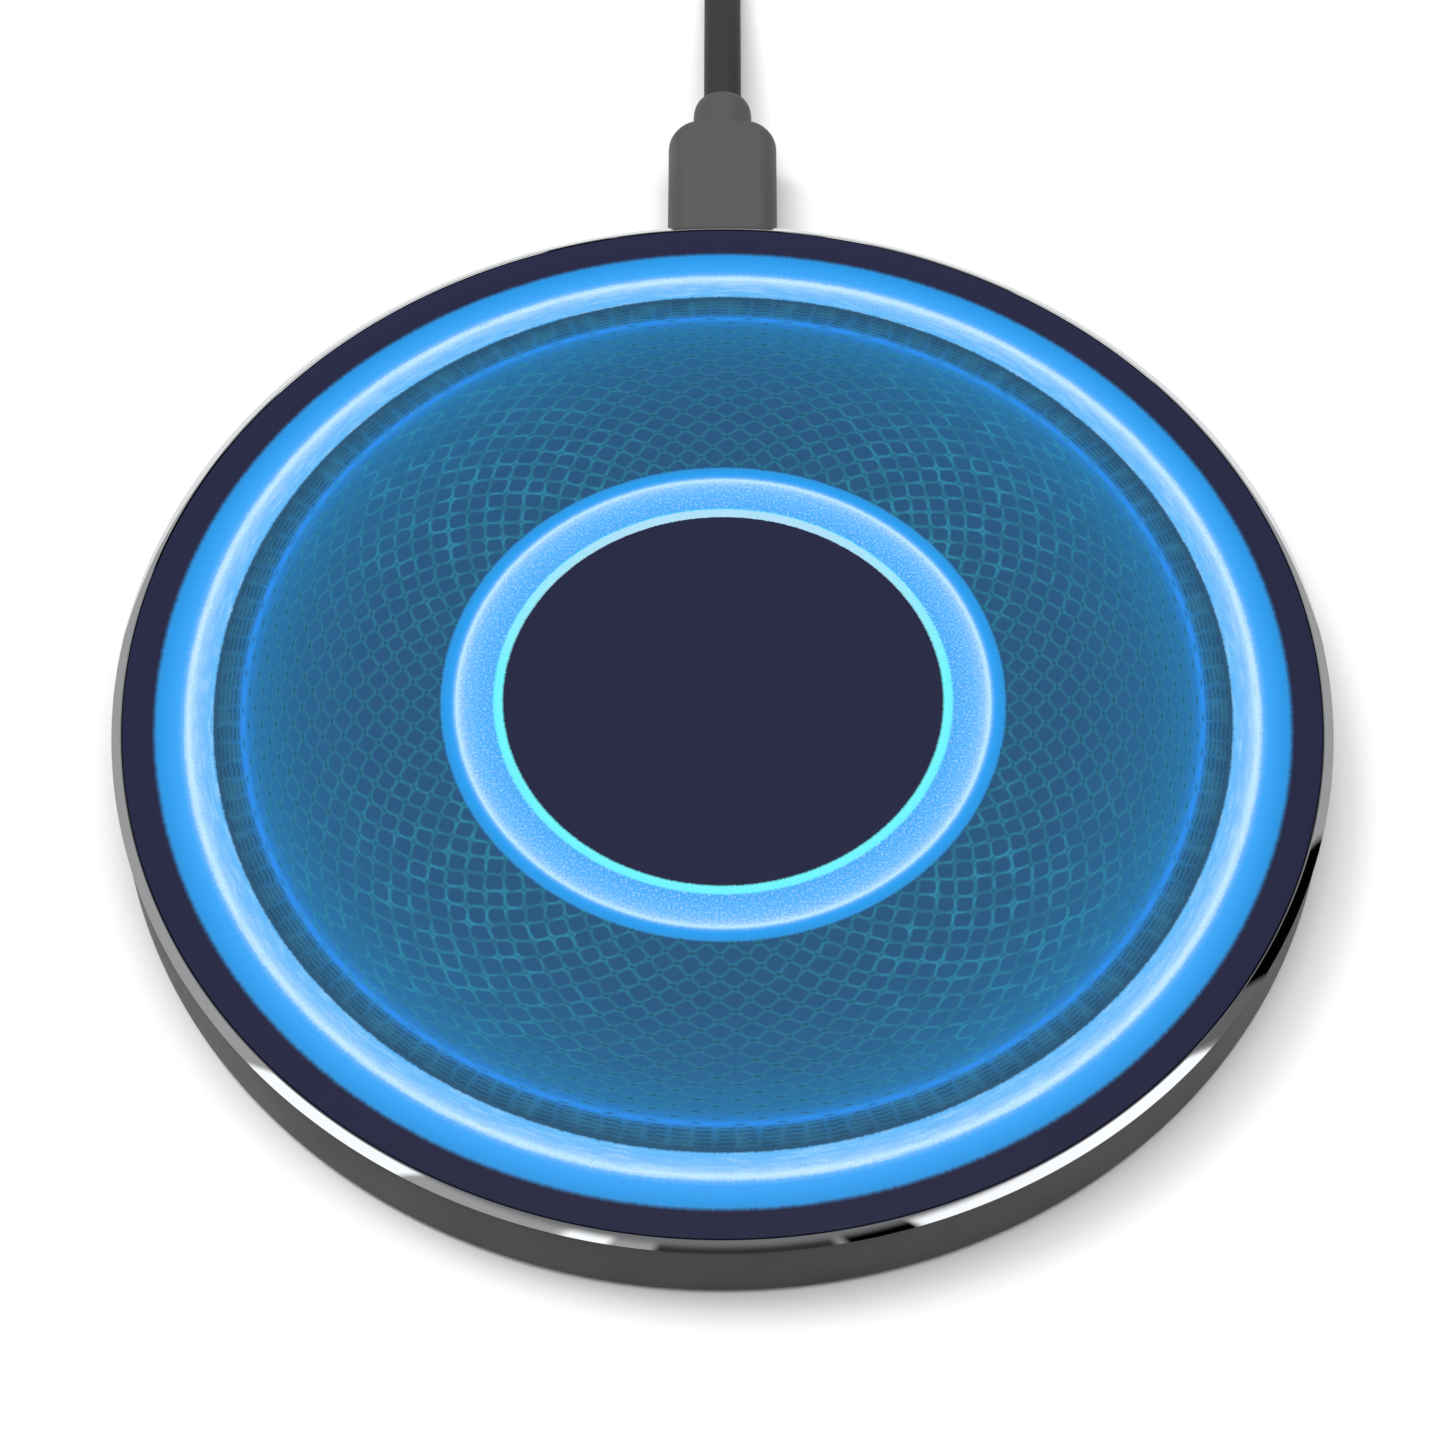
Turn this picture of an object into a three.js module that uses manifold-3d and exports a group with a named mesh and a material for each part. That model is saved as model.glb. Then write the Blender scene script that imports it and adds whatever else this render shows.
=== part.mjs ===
// Round wireless charging pad with its plug-in cable, as a three.js scene graph.
// Millimetres, +Z up. The origin is the middle of the pad's underside, where it stands on a table.
// The cable leaves the pad towards +Y. The first section holds the driving dimensions.
import * as THREE from "three";
import { mergeVertices } from "three/addons/utils/BufferGeometryUtils.js";
import Module from "manifold-3d";

const wasm = await Module();
wasm.setup();

// ---------------------------------------------------------------- driving dimensions

// Facets round each turned piece.
const LARGE_FACETS = 60;
const MIDDLE_FACETS = 48;
const SMALL_FACETS = 16;

// Clearances.
const SLIP_GAP = 0.1; // pieces that push or drop together
const FREE_GAP = 0.3; // pieces that only lie near each other

// The pad as a whole.
const PAD_DIAMETER = 100;
const PAD_HEIGHT = 8;

// Top panel and its tape.
const PANEL_THICKNESS = 0.8;
const PANEL_TAPE = 0.1;
const PANEL_TAPE_WIDTH = 18;

// Bezel ring: a flat lip beside the panel, a 45 degree chamfer and a short upright edge.
const BEZEL_WIDTH = 0.85;
const BEZEL_LIP = 0.25;
const BEZEL_EDGE = 0.1;
const BEZEL_FLANGE = 0.4;
const SKIRT_DEPTH = 1.1;
const SKIRT_THICKNESS = 0.75;

// Base shell.
const BASE_INSET = 0.1;
const BASE_SEAM = 0.1;
const BASE_WALL = 1.5;
const BASE_TONGUE = 0.35;
const BASE_FLOOR = 1.2;
const BASE_CORNER = 0.5;

// Anti-slip ring in its groove under the base.
const FOOT_PROUD = 0.3;
const FOOT_INSET = 10;
const FOOT_WIDTH = 7;
const GROOVE_DEPTH = 0.5;

// Frame under the panel, and the screws that hold it to the base.
const FRAME_THICKNESS = 0.8;
const BOSS_RADIUS = 2.6;
const PILLAR_RADIUS = 3.2;
const PILLAR_TOP = 3.4;
const SCREW_RADIUS = 1;
const SCREW_HEAD_RADIUS = 1.9;
const SCREW_HEAD = 1;
const SCREW_BITE = 2.5;
const SCREW_ANGLES = [18, 162, 234, 306]; // five even places, less the one that the socket takes

// Transmitter coil and what carries it.
const COIL_DIAMETER = 43.4;
const COIL_TURNS = 10;
const COIL_PITCH = 1.15;
const COIL_WIRE_GAP = 0.15;
const COIL_THICKNESS = 1.1;
const COIL_TAPE = 0.15;
const COIL_STEPS = 20; // straight steps in each turn
const FERRITE_THICKNESS = 1;
const FERRITE_MARGIN = 3.3;
const TRAY_FLOOR = 0.8;
const TRAY_RIM = 0.8;
const TRAY_SEAT = 2;
const LEAD_DIAMETER = 0.8;
const SENSOR_RADIUS = 0.9;
const SENSOR_LEAD = 0.7;

// Circuit board and its two screws.
const BOARD_THICKNESS = 0.8;
const BOARD_STANDOFF = 0.4;
const BOARD_ANGLE = 52; // half of the sector that the board fills
const BOARD_SCREW_ANGLE = 47; // each screw's angle from the board's middle line
const BOARD_SCREW_RADIUS = 0.75;
const BOARD_SCREW_HEAD_RADIUS = 1.5;
const BOARD_SCREW_HEAD = 0.9;
const STANDOFF_RADIUS = 2;

// Micro-USB type socket and plug.
const SOCKET_WIDTH = 7.6;
const SOCKET_HEIGHT = 2.6;
const SOCKET_DEPTH = 5.5;
const SOCKET_WALL = 0.25;
const SOCKET_CORNER = 0.6;
const SOCKET_BLOCK = 0.7;
const TONGUE_WIDTH = 3.9;
const TONGUE_HEIGHT = 0.5;
const PORT_MARGIN = 0.4;
const PLUG_SHELL_GAP = 0.125;
const PLUG_SHELL_WALL = 0.3;
const PLUG_SHELL_DEPTH = 6.4; // how far it stands out of the overmould
const PLUG_SHELL_HELD = 3;
const PLUG_INSULATOR = 0.45;

// Plug body and collar.
const PLUG_WIDTH = 9.8;
const PLUG_HEIGHT = 5.8;
const PLUG_LENGTH = 12.8;
const PLUG_SIDE_RADIUS = 1.8;
const PLUG_SHOULDER_RADIUS = 1.9;
const COLLAR_RADIUS = 2.65;
const COLLAR_LENGTH = 4.6;
const COLLAR_DOME = 1.9;

// Cable.
const CABLE_DIAMETER = 3.4;
const CABLE_SIDES = 8;
const LEAD_SIDES = 6;
const TURN_GAP = 0.05;
const TURN_COLUMNS = 3;
const WINDING_BEHIND = 55.5; // from the collar to the winding's centre
const MIDDLE_TURN_RADIUS = 18.7;
const TIE_THICKNESS = 0.6;
const TIE_WIDTH = 8;
const TIE_ANGLE = 205;

// USB-A plug on the cable's far end. It lies beside the winding, with its mouth towards the pad.
const USB_A_X = 30;
const USB_A_MOUTH_Y = 31.5; // behind the collar
const USB_A_WIDTH = 12;
const USB_A_HEIGHT = 4.5;
const USB_A_WALL = 0.3;
const USB_A_OUT = 12;
const USB_A_HELD = 6;
const USB_A_INSULATOR = 1.9;
const USB_A_BODY_WIDTH = 15.8;
const USB_A_BODY_LENGTH = 20;
const USB_A_BODY_HEIGHT = 8;
const USB_A_RELIEF_LENGTH = 8;
const USB_A_RELIEF_RADIUS = 3;
const CONTACT_WIDTH = 1;
const CONTACT_THICKNESS = 0.2;
const CONTACT_PLACES = [
  [-3.5, 8.6],
  [-1, 7.4],
  [1, 7.4],
  [3.5, 8.6],
]; // each contact's place across the plug and its length

// ---------------------------------------------------------------- worked out from them

const padRadius = PAD_DIAMETER / 2;
const bezelInner = padRadius - BEZEL_WIDTH;
const bezelChamfer = BEZEL_WIDTH - BEZEL_LIP;
const panelRadius = bezelInner - SLIP_GAP;
const panelBottom = PAD_HEIGHT - PANEL_THICKNESS;
const ledgeTop = panelBottom - PANEL_TAPE;
const bezelBottom = PAD_HEIGHT - bezelChamfer - BEZEL_EDGE;
const shelfTop = ledgeTop - BEZEL_FLANGE;
const skirtBottom = shelfTop - SKIRT_DEPTH;

const baseRadius = padRadius - BASE_INSET;
const baseTop = bezelBottom - BASE_SEAM;
const tongueInner = baseRadius - BASE_TONGUE;
const wallInner = baseRadius - BASE_WALL;
const floorTop = FOOT_PROUD + BASE_FLOOR;
const skirtOuter = wallInner - SLIP_GAP;
const skirtInner = skirtOuter - SKIRT_THICKNESS;

const footRadius = padRadius - FOOT_INSET;
const grooveTop = FOOT_PROUD + GROOVE_DEPTH;
const headSeat = grooveTop + SLIP_GAP + SCREW_HEAD;
const frameBottom = ledgeTop - FRAME_THICKNESS;

const leadHeight = panelBottom - FREE_GAP - LEAD_DIAMETER / 2;
const coilTop = leadHeight - LEAD_DIAMETER / 2 - SLIP_GAP;
const coilBottom = coilTop - COIL_THICKNESS;
const ferriteTop = coilBottom - COIL_TAPE;
const ferriteBottom = ferriteTop - FERRITE_THICKNESS;
const trayBottom = ferriteBottom - TRAY_FLOOR;
const coilOuter = COIL_DIAMETER / 2;
const coilInner = coilOuter - COIL_TURNS * COIL_PITCH;
const ferriteRadius = coilOuter + FERRITE_MARGIN;
const trayRadius = ferriteRadius + SLIP_GAP + TRAY_RIM;

const boardBottom = floorTop + BOARD_STANDOFF;
const boardTop = boardBottom + BOARD_THICKNESS;
const boardInner = trayRadius + 2;
const boardOuter = wallInner - 1.4;
const boardScrewRadius = boardInner + 3;
const socketTop = boardTop + SOCKET_HEIGHT;
const socketCentre = boardTop + SOCKET_HEIGHT / 2;
const socketMouth = wallInner - FREE_GAP;
const socketBack = socketMouth - SOCKET_DEPTH;
const plugShellWidth = SOCKET_WIDTH - 2 * SOCKET_WALL - 2 * PLUG_SHELL_GAP;
const plugShellHeight = SOCKET_HEIGHT - 2 * SOCKET_WALL - 2 * PLUG_SHELL_GAP;
const plugFront = baseRadius + 0.2;
const plugBack = plugFront + PLUG_LENGTH;
const cableExit = plugBack + COLLAR_LENGTH;

const cableRadius = CABLE_DIAMETER / 2;
const turnPitch = CABLE_DIAMETER + TURN_GAP;
const outerTurn = MIDDLE_TURN_RADIUS + ((TURN_COLUMNS - 1) / 2) * turnPitch;
const innerTurn = outerTurn - (TURN_COLUMNS - 1) * turnPitch;
const windingBottom = TIE_THICKNESS + SLIP_GAP;
const layerTop = (layer) => windingBottom + (layer - 1) * turnPitch + CABLE_DIAMETER;
const windingX = -outerTurn;
const windingOuter = outerTurn + cableRadius;
// How far before and behind the winding's centre the straight cable meets its outside.
const windingReach = Math.sqrt((windingOuter + FREE_GAP) ** 2 - (outerTurn - cableRadius) ** 2);

const usbAFront = USB_A_MOUTH_Y + USB_A_OUT;
const usbABack = usbAFront + USB_A_BODY_LENGTH;
const usbACentre = USB_A_BODY_HEIGHT / 2;

// ---------------------------------------------------------------- materials

const finish = (color, roughness, metalness = 0) =>
  new THREE.MeshStandardMaterial({ color, roughness, metalness });

const printedPanel = finish(0x2b2b42, 0.45);
const chrome = finish(0xd8dadc, 0.06, 1);
const blackAbs = finish(0x2a2a2b, 0.5);
const innerAbs = finish(0x3a3a3c, 0.6);
const silicone = finish(0x1c1c1e, 0.85);
const tape = finish(0xd9d4c4, 0.7);
const ferrite = finish(0x3b3a3d, 0.8);
const copper = finish(0xb4652f, 0.35, 1);
const enamelWire = finish(0x9a4f26, 0.4, 0.6);
const fibreglass = finish(0x1d5a35, 0.5);
const tin = finish(0xb9bcc0, 0.3, 1);
const steel = finish(0x8b8e92, 0.35, 1);
const chipEpoxy = finish(0x18181a, 0.6);
const ceramic = finish(0x9b7a55, 0.5);
const clearPlastic = finish(0xdfe6ea, 0.2);
const socketPlastic = finish(0x1a1a1c, 0.5);
const whitePlastic = finish(0xe8e8e4, 0.5);
const cablePvc = finish(0x2c2c2e, 0.5);
const plugPvc = finish(0x3a3a3c, 0.45);
const gold = finish(0xd6a94a, 0.25, 1);
const strapFabric = finish(0x1f1f22, 0.95);

// ---------------------------------------------------------------- helpers

const radians = THREE.MathUtils.degToRad;

// A point at a radius and an angle in degrees round the pad's axis.
function polar(radius, degrees) {
  const angle = radians(degrees);
  return new THREE.Vector2(radius * Math.cos(angle), radius * Math.sin(angle));
}

// A closed three.js geometry as a manifold-3d solid.
function solid(geometry) {
  const bare = geometry.clone();
  bare.deleteAttribute("normal");
  bare.deleteAttribute("uv");
  const merged = mergeVertices(bare, 1e-3);
  return new wasm.Manifold(
    new wasm.Mesh({
      numProp: 3,
      vertProperties: merged.attributes.position.array,
      triVerts: new Uint32Array(merged.index.array),
    }),
  );
}

// The solid's triangles as a three.js geometry.
function geometryOf(made) {
  const { vertProperties, triVerts } = made.getMesh();
  const indexed = new THREE.BufferGeometry();
  indexed.setAttribute("position", new THREE.BufferAttribute(vertProperties, 3));
  indexed.setIndex(new THREE.BufferAttribute(triVerts, 1));
  const faceted = indexed.toNonIndexed();
  faceted.computeVertexNormals();
  return faceted;
}

// Takes each of the cutters out of the geometry, after joining the additions to it.
function shaped(geometry, additions, cutters) {
  let made = solid(geometry);
  for (const addition of additions) made = made.add(solid(addition));
  for (const cutter of cutters) made = made.subtract(solid(cutter));
  return geometryOf(made);
}

// A turned piece round Z from [radius, height] points that run up its outside and down its inside.
function turned(points, facets = LARGE_FACETS) {
  const onAxis = points[0][0] === 0;
  const outline = onAxis ? points : [...points, points[0]];
  const profile = outline.map(([radius, height]) => new THREE.Vector2(radius, height));
  return new THREE.LatheGeometry(profile, facets).rotateX(Math.PI / 2);
}

// A flat ring, or a disc where its inner radius is 0.
function ring(inner, outer, low, high, facets = LARGE_FACETS) {
  const points = [
    [inner, low],
    [outer, low],
    [outer, high],
    [inner, high],
  ];
  return turned(points, facets);
}

// A round bar along Z.
function bar(radius, low, high, place, facets = SMALL_FACETS) {
  return ring(0, radius, low, high, facets).translate(place.x, place.y, 0);
}

// A box by its middle and its height above a level.
function block(width, depth, height, x, y, low) {
  return new THREE.BoxGeometry(width, depth, height).translate(x, y, low + height / 2);
}

// A rectangle with round corners, centred on the origin.
function roundedRectangle(width, height, radius) {
  const x = width / 2;
  const y = height / 2;
  const outline = new THREE.Shape();
  outline.absarc(x - radius, y - radius, radius, 0, Math.PI / 2);
  outline.absarc(radius - x, y - radius, radius, Math.PI / 2, Math.PI);
  outline.absarc(radius - x, radius - y, radius, Math.PI, 1.5 * Math.PI);
  outline.absarc(x - radius, radius - y, radius, 1.5 * Math.PI, 2 * Math.PI);
  outline.closePath();
  return outline;
}

// An outline drawn in X and Z, extruded along Y from front to back, and raised to its centre height.
function extrudedAlongY(outline, front, back, centre, curveSegments = 2) {
  const options = { depth: back - front, bevelEnabled: false, curveSegments };
  return new THREE.ExtrudeGeometry(outline, options)
    .rotateX(Math.PI / 2)
    .translate(0, back, centre);
}

// An outline drawn in X and Y, extruded up from one height to another.
function extrudedUp(outline, low, high, curveSegments = 2) {
  const options = { depth: high - low, bevelEnabled: false, curveSegments };
  return new THREE.ExtrudeGeometry(outline, options).translate(0, 0, low);
}

// A round tube with flat ends along a smooth curve through the points.
function tube(points, diameter, steps, sides = CABLE_SIDES) {
  const path = new THREE.CatmullRomCurve3(points.map((point) => new THREE.Vector3(...point)));
  const section = new THREE.Shape().absarc(0, 0, diameter / 2, 0, 2 * Math.PI);
  const curveSegments = sides / 2; // a full circle gets two sides for each
  const options = { extrudePath: path, steps, curveSegments, bevelEnabled: false };
  return new THREE.ExtrudeGeometry(section, options);
}

// Adds one named piece to a group, at a place in it if one is given.
function addPiece(group, name, geometry, material, place = [0, 0, 0], turn = 0) {
  const mesh = new THREE.Mesh(geometry, material);
  mesh.name = name;
  mesh.position.set(...place);
  mesh.rotation.z = turn;
  group.add(mesh);
}

// ---------------------------------------------------------------- casing

function topPanel() {
  return ring(0, panelRadius, panelBottom, PAD_HEIGHT);
}

function panelAdhesive() {
  return ring(panelRadius - PANEL_TAPE_WIDTH, panelRadius, ledgeTop, panelBottom);
}

// The skirt is cut away over the socket, where a tall socket would meet it.
function bezelRing() {
  const relief = block(
    SOCKET_WIDTH + 2 * PORT_MARGIN,
    4 * BASE_WALL,
    socketTop + 2 * SLIP_GAP,
    0,
    skirtInner,
    0,
  );
  const ringShape = turned([
    [skirtInner, skirtBottom],
    [skirtOuter, skirtBottom],
    [skirtOuter, shelfTop],
    [tongueInner - SLIP_GAP, shelfTop],
    [tongueInner - SLIP_GAP, bezelBottom],
    [padRadius, bezelBottom],
    [padRadius, PAD_HEIGHT - bezelChamfer],
    [padRadius - bezelChamfer, PAD_HEIGHT],
    [bezelInner, PAD_HEIGHT],
    [bezelInner, ledgeTop],
    [skirtInner, ledgeTop],
  ]);
  return shaped(ringShape, [], [relief]);
}

// Points of the round lower corner of the base, from the underside to the wall.
function baseCorner() {
  const steps = 3;
  return Array.from({ length: steps + 1 }, (_, i) => {
    const angle = (i / steps) * (Math.PI / 2);
    return [
      baseRadius - BASE_CORNER + BASE_CORNER * Math.sin(angle),
      FOOT_PROUD + BASE_CORNER - BASE_CORNER * Math.cos(angle),
    ];
  });
}

const grooveInner = footRadius - FOOT_WIDTH / 2 - SLIP_GAP;
const grooveOuter = footRadius + FOOT_WIDTH / 2 + SLIP_GAP;
const boardScrewPlaces = [-BOARD_SCREW_ANGLE, BOARD_SCREW_ANGLE].map((angle) =>
  polar(boardScrewRadius, 90 + angle),
);
const caseScrewPlaces = SCREW_ANGLES.map((angle) => polar(footRadius, angle));

// Status lamp: it shines through a pipe in the wall beside the port.
const LAMP_ANGLE = 73;
const LAMP_HEIGHT = 0.9;
const PIPE_RADIUS = 0.75;
const PIPE_COLLAR = 0.55;
const pipeCentre = boardTop + LAMP_HEIGHT;

// A round bar along the radius at the lamp's angle.
function radialBar(radius, from, to) {
  return new THREE.CylinderGeometry(radius, radius, to - from, SMALL_FACETS)
    .rotateZ(Math.PI / 2)
    .translate((from + to) / 2, 0, pipeCentre)
    .rotateZ(radians(LAMP_ANGLE));
}

function baseShell() {
  const cup = turned([
    [0, FOOT_PROUD],
    [grooveInner, FOOT_PROUD],
    [grooveInner, grooveTop],
    [grooveOuter, grooveTop],
    [grooveOuter, FOOT_PROUD],
    ...baseCorner(),
    [baseRadius, baseTop],
    [tongueInner, baseTop],
    [tongueInner, shelfTop],
    [wallInner, shelfTop],
    [wallInner, floorTop],
    [trayRadius, floorTop],
    [trayRadius, trayBottom],
    [trayRadius - TRAY_SEAT, trayBottom],
    [trayRadius - TRAY_SEAT, floorTop],
    [0, floorTop],
  ]);
  const sunk = floorTop - BASE_FLOOR / 4;
  const pillars = caseScrewPlaces.map((place) => bar(PILLAR_RADIUS, sunk, PILLAR_TOP, place));
  const standoffs = boardScrewPlaces.map((place) => bar(STANDOFF_RADIUS, sunk, boardBottom, place));
  const rests = [-1, 1].map((side) =>
    block(2, 3, boardBottom - sunk, side * SOCKET_WIDTH, boardOuter - 3, sunk),
  );
  const portOutline = roundedRectangle(
    SOCKET_WIDTH + 2 * PORT_MARGIN,
    SOCKET_HEIGHT + 2 * PORT_MARGIN,
    1,
  );
  const cutters = [
    extrudedAlongY(portOutline, boardOuter, padRadius + 1, socketCentre),
    radialBar(PIPE_RADIUS + SLIP_GAP, boardOuter, padRadius + 1),
  ];
  for (const place of caseScrewPlaces) {
    cutters.push(bar(SCREW_HEAD_RADIUS + SLIP_GAP, 0, headSeat, place));
    cutters.push(bar(SCREW_RADIUS + SLIP_GAP, 0, PILLAR_TOP + 1, place));
  }
  for (const place of boardScrewPlaces) {
    cutters.push(bar(BOARD_SCREW_RADIUS + SLIP_GAP, floorTop - 0.7, boardTop, place));
  }
  return shaped(cup, [...pillars, ...standoffs, ...rests], cutters);
}

function antiSlipRing() {
  return ring(grooveInner + SLIP_GAP, grooveOuter - SLIP_GAP, 0, grooveTop);
}

// The frame's ring, and the bosses that stand on the base's pillars and take the case screws.
function topFrame() {
  const plate = ring(trayRadius + 1.5, skirtInner - SLIP_GAP, frameBottom, ledgeTop);
  const middle = (frameBottom + ledgeTop) / 2;
  const bosses = caseScrewPlaces.map((place) => bar(BOSS_RADIUS, PILLAR_TOP, middle, place));
  const holes = caseScrewPlaces.map((place) =>
    bar(SCREW_RADIUS + SLIP_GAP, 0, PILLAR_TOP + SCREW_BITE + SLIP_GAP, place),
  );
  return shaped(plate, bosses, holes);
}

// A screw that points up from its head, or down where its head is above its tip.
function screw(radius, headRadius, headHeight, seat, tip) {
  const up = Math.sign(tip - seat);
  const head = seat - up * headHeight;
  const outline = [
    [0, head],
    [headRadius * 0.8, head],
    [headRadius, head + up * headHeight * 0.4],
    [headRadius, seat],
    [radius, seat],
    [radius, tip - up * radius * 0.6],
    [0, tip],
  ];
  const body = turned(up > 0 ? outline : outline.reverse(), SMALL_FACETS);
  const slots = [0, Math.PI / 2].map((turn) =>
    new THREE.BoxGeometry(headRadius * 1.2, headRadius * 0.3, headHeight)
      .rotateZ(turn)
      .translate(0, 0, head),
  );
  return shaped(body, [], slots);
}

const pad = new THREE.Group();
addPiece(pad, "top_panel", topPanel(), printedPanel);
addPiece(pad, "panel_adhesive", panelAdhesive(), tape);
addPiece(pad, "bezel_ring", bezelRing(), chrome);
addPiece(pad, "base_shell", baseShell(), blackAbs);
addPiece(pad, "anti_slip_ring", antiSlipRing(), silicone);
addPiece(pad, "top_frame", topFrame(), innerAbs);

caseScrewPlaces.forEach((place, index) => {
  const tip = PILLAR_TOP + SCREW_BITE;
  const geometry = screw(SCREW_RADIUS, SCREW_HEAD_RADIUS, SCREW_HEAD, headSeat, tip);
  addPiece(pad, `case_screw_${index + 1}`, geometry, steel, [place.x, place.y, 0]);
});

// ---------------------------------------------------------------- transmitter coil

// A flat spiral strip: its outer edge outwards, then its inner edge back.
function spiralOutline() {
  const steps = COIL_TURNS * COIL_STEPS;
  const width = COIL_PITCH - COIL_WIRE_GAP;
  const edge = (offset) =>
    Array.from({ length: steps - COIL_STEPS + 1 }, (_, i) => {
      const turns = i / COIL_STEPS;
      return polar(coilInner + COIL_PITCH * turns + offset, 360 * turns + 90);
    });
  return new THREE.Shape([...edge(width), ...edge(0).reverse()]);
}

function coilTray() {
  return turned([
    [0, trayBottom],
    [trayRadius, trayBottom],
    [trayRadius, ferriteTop],
    [trayRadius - TRAY_RIM, ferriteTop],
    [trayRadius - TRAY_RIM, ferriteBottom],
    [0, ferriteBottom],
  ]);
}

// The sensor's glass bead, with its lead over the coil to the board.
function thermistor() {
  const beadHeight = ferriteTop + COIL_TAPE + SENSOR_RADIUS;
  const bead = new THREE.SphereGeometry(SENSOR_RADIUS, 12, 8).translate(0, 0, beadHeight);
  const route = [
    [0, 0.3, beadHeight],
    [0, 4, leadHeight - 0.2],
    [0, coilInner, leadHeight],
    [0, coilOuter + 1, leadHeight],
    [0, trayRadius, leadHeight - 0.8],
    [0, boardInner + 0.8, boardTop + 1.6],
    [0, boardInner + 1.4, boardTop + FREE_GAP],
  ];
  return shaped(tube(route, SENSOR_LEAD, 16, LEAD_SIDES), [bead], []);
}

const innerLeadRoute = [
  [2.6, coilInner - 1.8, coilBottom + 0.6],
  [2.7, coilInner - 1.4, leadHeight - 0.5],
  [2.9, coilInner, leadHeight],
  [3.2, coilOuter + 0.5, leadHeight],
  [3.4, trayRadius, leadHeight - 0.8],
  [3.5, boardInner + 1, boardTop + 1.6],
  [3.5, boardInner + 1.5, boardTop + FREE_GAP],
];
const outerLeadRoute = [
  [-2.6, coilOuter + 0.4, coilTop - COIL_THICKNESS / 2],
  [-2.9, coilOuter + 2.5, ferriteTop + LEAD_DIAMETER],
  [-3.2, trayRadius + 0.3, ferriteTop + LEAD_DIAMETER - 0.1],
  [-3.5, boardInner + 1, boardTop + 1.6],
  [-3.5, boardInner + 1.5, boardTop + FREE_GAP],
];

addPiece(pad, "coil_tray", coilTray(), innerAbs);
addPiece(pad, "ferrite_sheet", ring(0, ferriteRadius, ferriteBottom, ferriteTop), ferrite);
const tapeRing = ring(coilInner, coilOuter - COIL_PITCH, ferriteTop, coilBottom, MIDDLE_FACETS);
addPiece(pad, "coil_adhesive", tapeRing, tape);
addPiece(pad, "charging_coil", extrudedUp(spiralOutline(), coilBottom, coilTop), enamelWire);
const innerLead = tube(innerLeadRoute, LEAD_DIAMETER, 16, LEAD_SIDES);
const outerLead = tube(outerLeadRoute, LEAD_DIAMETER, 10, LEAD_SIDES);
addPiece(pad, "coil_lead_inner", innerLead, copper);
addPiece(pad, "coil_lead_outer", outerLead, copper);
addPiece(pad, "thermistor", thermistor(), clearPlastic);

// ---------------------------------------------------------------- electronics

// A sector of a ring, with its screw holes.
function circuitBoard() {
  const first = radians(90 - BOARD_ANGLE);
  const last = radians(90 + BOARD_ANGLE);
  const outline = new THREE.Shape();
  outline.absarc(0, 0, boardOuter, first, last, false);
  outline.absarc(0, 0, boardInner, last, first, true);
  outline.closePath();
  for (const place of boardScrewPlaces) {
    const hole = new THREE.Path();
    hole.absarc(place.x, place.y, BOARD_SCREW_RADIUS + SLIP_GAP, 0, 2 * Math.PI, true);
    outline.holes.push(hole);
  }
  return extrudedUp(outline, boardBottom, boardTop, SMALL_FACETS / 2);
}

// A metal shell's outline: its two lower corners are cut at a slant.
function slantedOutline(width, height, corner) {
  const x = width / 2;
  const y = height / 2;
  return [
    [x, y],
    [-x, y],
    [-x, corner - y],
    [corner - x, -y],
    [x - corner, -y],
    [x, corner - y],
  ].map(([across, up]) => new THREE.Vector2(across, up));
}

// A hollow metal shell along Y.
function metalShell(width, height, wall, corner, front, back, centre) {
  const outline = new THREE.Shape(slantedOutline(width, height, corner));
  const inner = slantedOutline(width - 2 * wall, height - 2 * wall, corner);
  outline.holes.push(new THREE.Path(inner));
  return extrudedAlongY(outline, front, back, centre);
}

// The block that closes the socket's back, with its tongue.
function socketTongue() {
  const width = SOCKET_WIDTH - 2 * (SOCKET_WALL + SLIP_GAP);
  const height = SOCKET_HEIGHT - 2 * (SOCKET_WALL + SLIP_GAP);
  const blockY = socketBack + SLIP_GAP + SOCKET_BLOCK / 2;
  const outline = new THREE.Shape(slantedOutline(width, height, SOCKET_CORNER));
  const backBlock = extrudedAlongY(
    outline,
    blockY - SOCKET_BLOCK / 2,
    blockY + SOCKET_BLOCK / 2,
    socketCentre,
  );
  const reach = SOCKET_DEPTH - SLIP_GAP - 0.8;
  const low = socketCentre - 0.05;
  const tongueY = blockY + reach / 2;
  const tongue = block(TONGUE_WIDTH, reach, TONGUE_HEIGHT, 0, tongueY, low);
  return shaped(backBlock, [tongue], []);
}

function lightPipe() {
  const inside = radialBar(PIPE_RADIUS + PIPE_COLLAR, boardOuter + SLIP_GAP, wallInner - FREE_GAP);
  return shaped(radialBar(PIPE_RADIUS, boardOuter - 0.8, baseRadius - 0.05), [inside], []);
}

const socketShell = metalShell(
  SOCKET_WIDTH,
  SOCKET_HEIGHT,
  SOCKET_WALL,
  SOCKET_CORNER,
  socketBack,
  socketMouth,
  socketCentre,
);
addPiece(pad, "circuit_board", circuitBoard(), fibreglass);
addPiece(pad, "usb_socket_shell", socketShell, tin);
addPiece(pad, "usb_socket_tongue", socketTongue(), socketPlastic);
addPiece(pad, "light_pipe", lightPipe(), clearPlastic);

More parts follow.
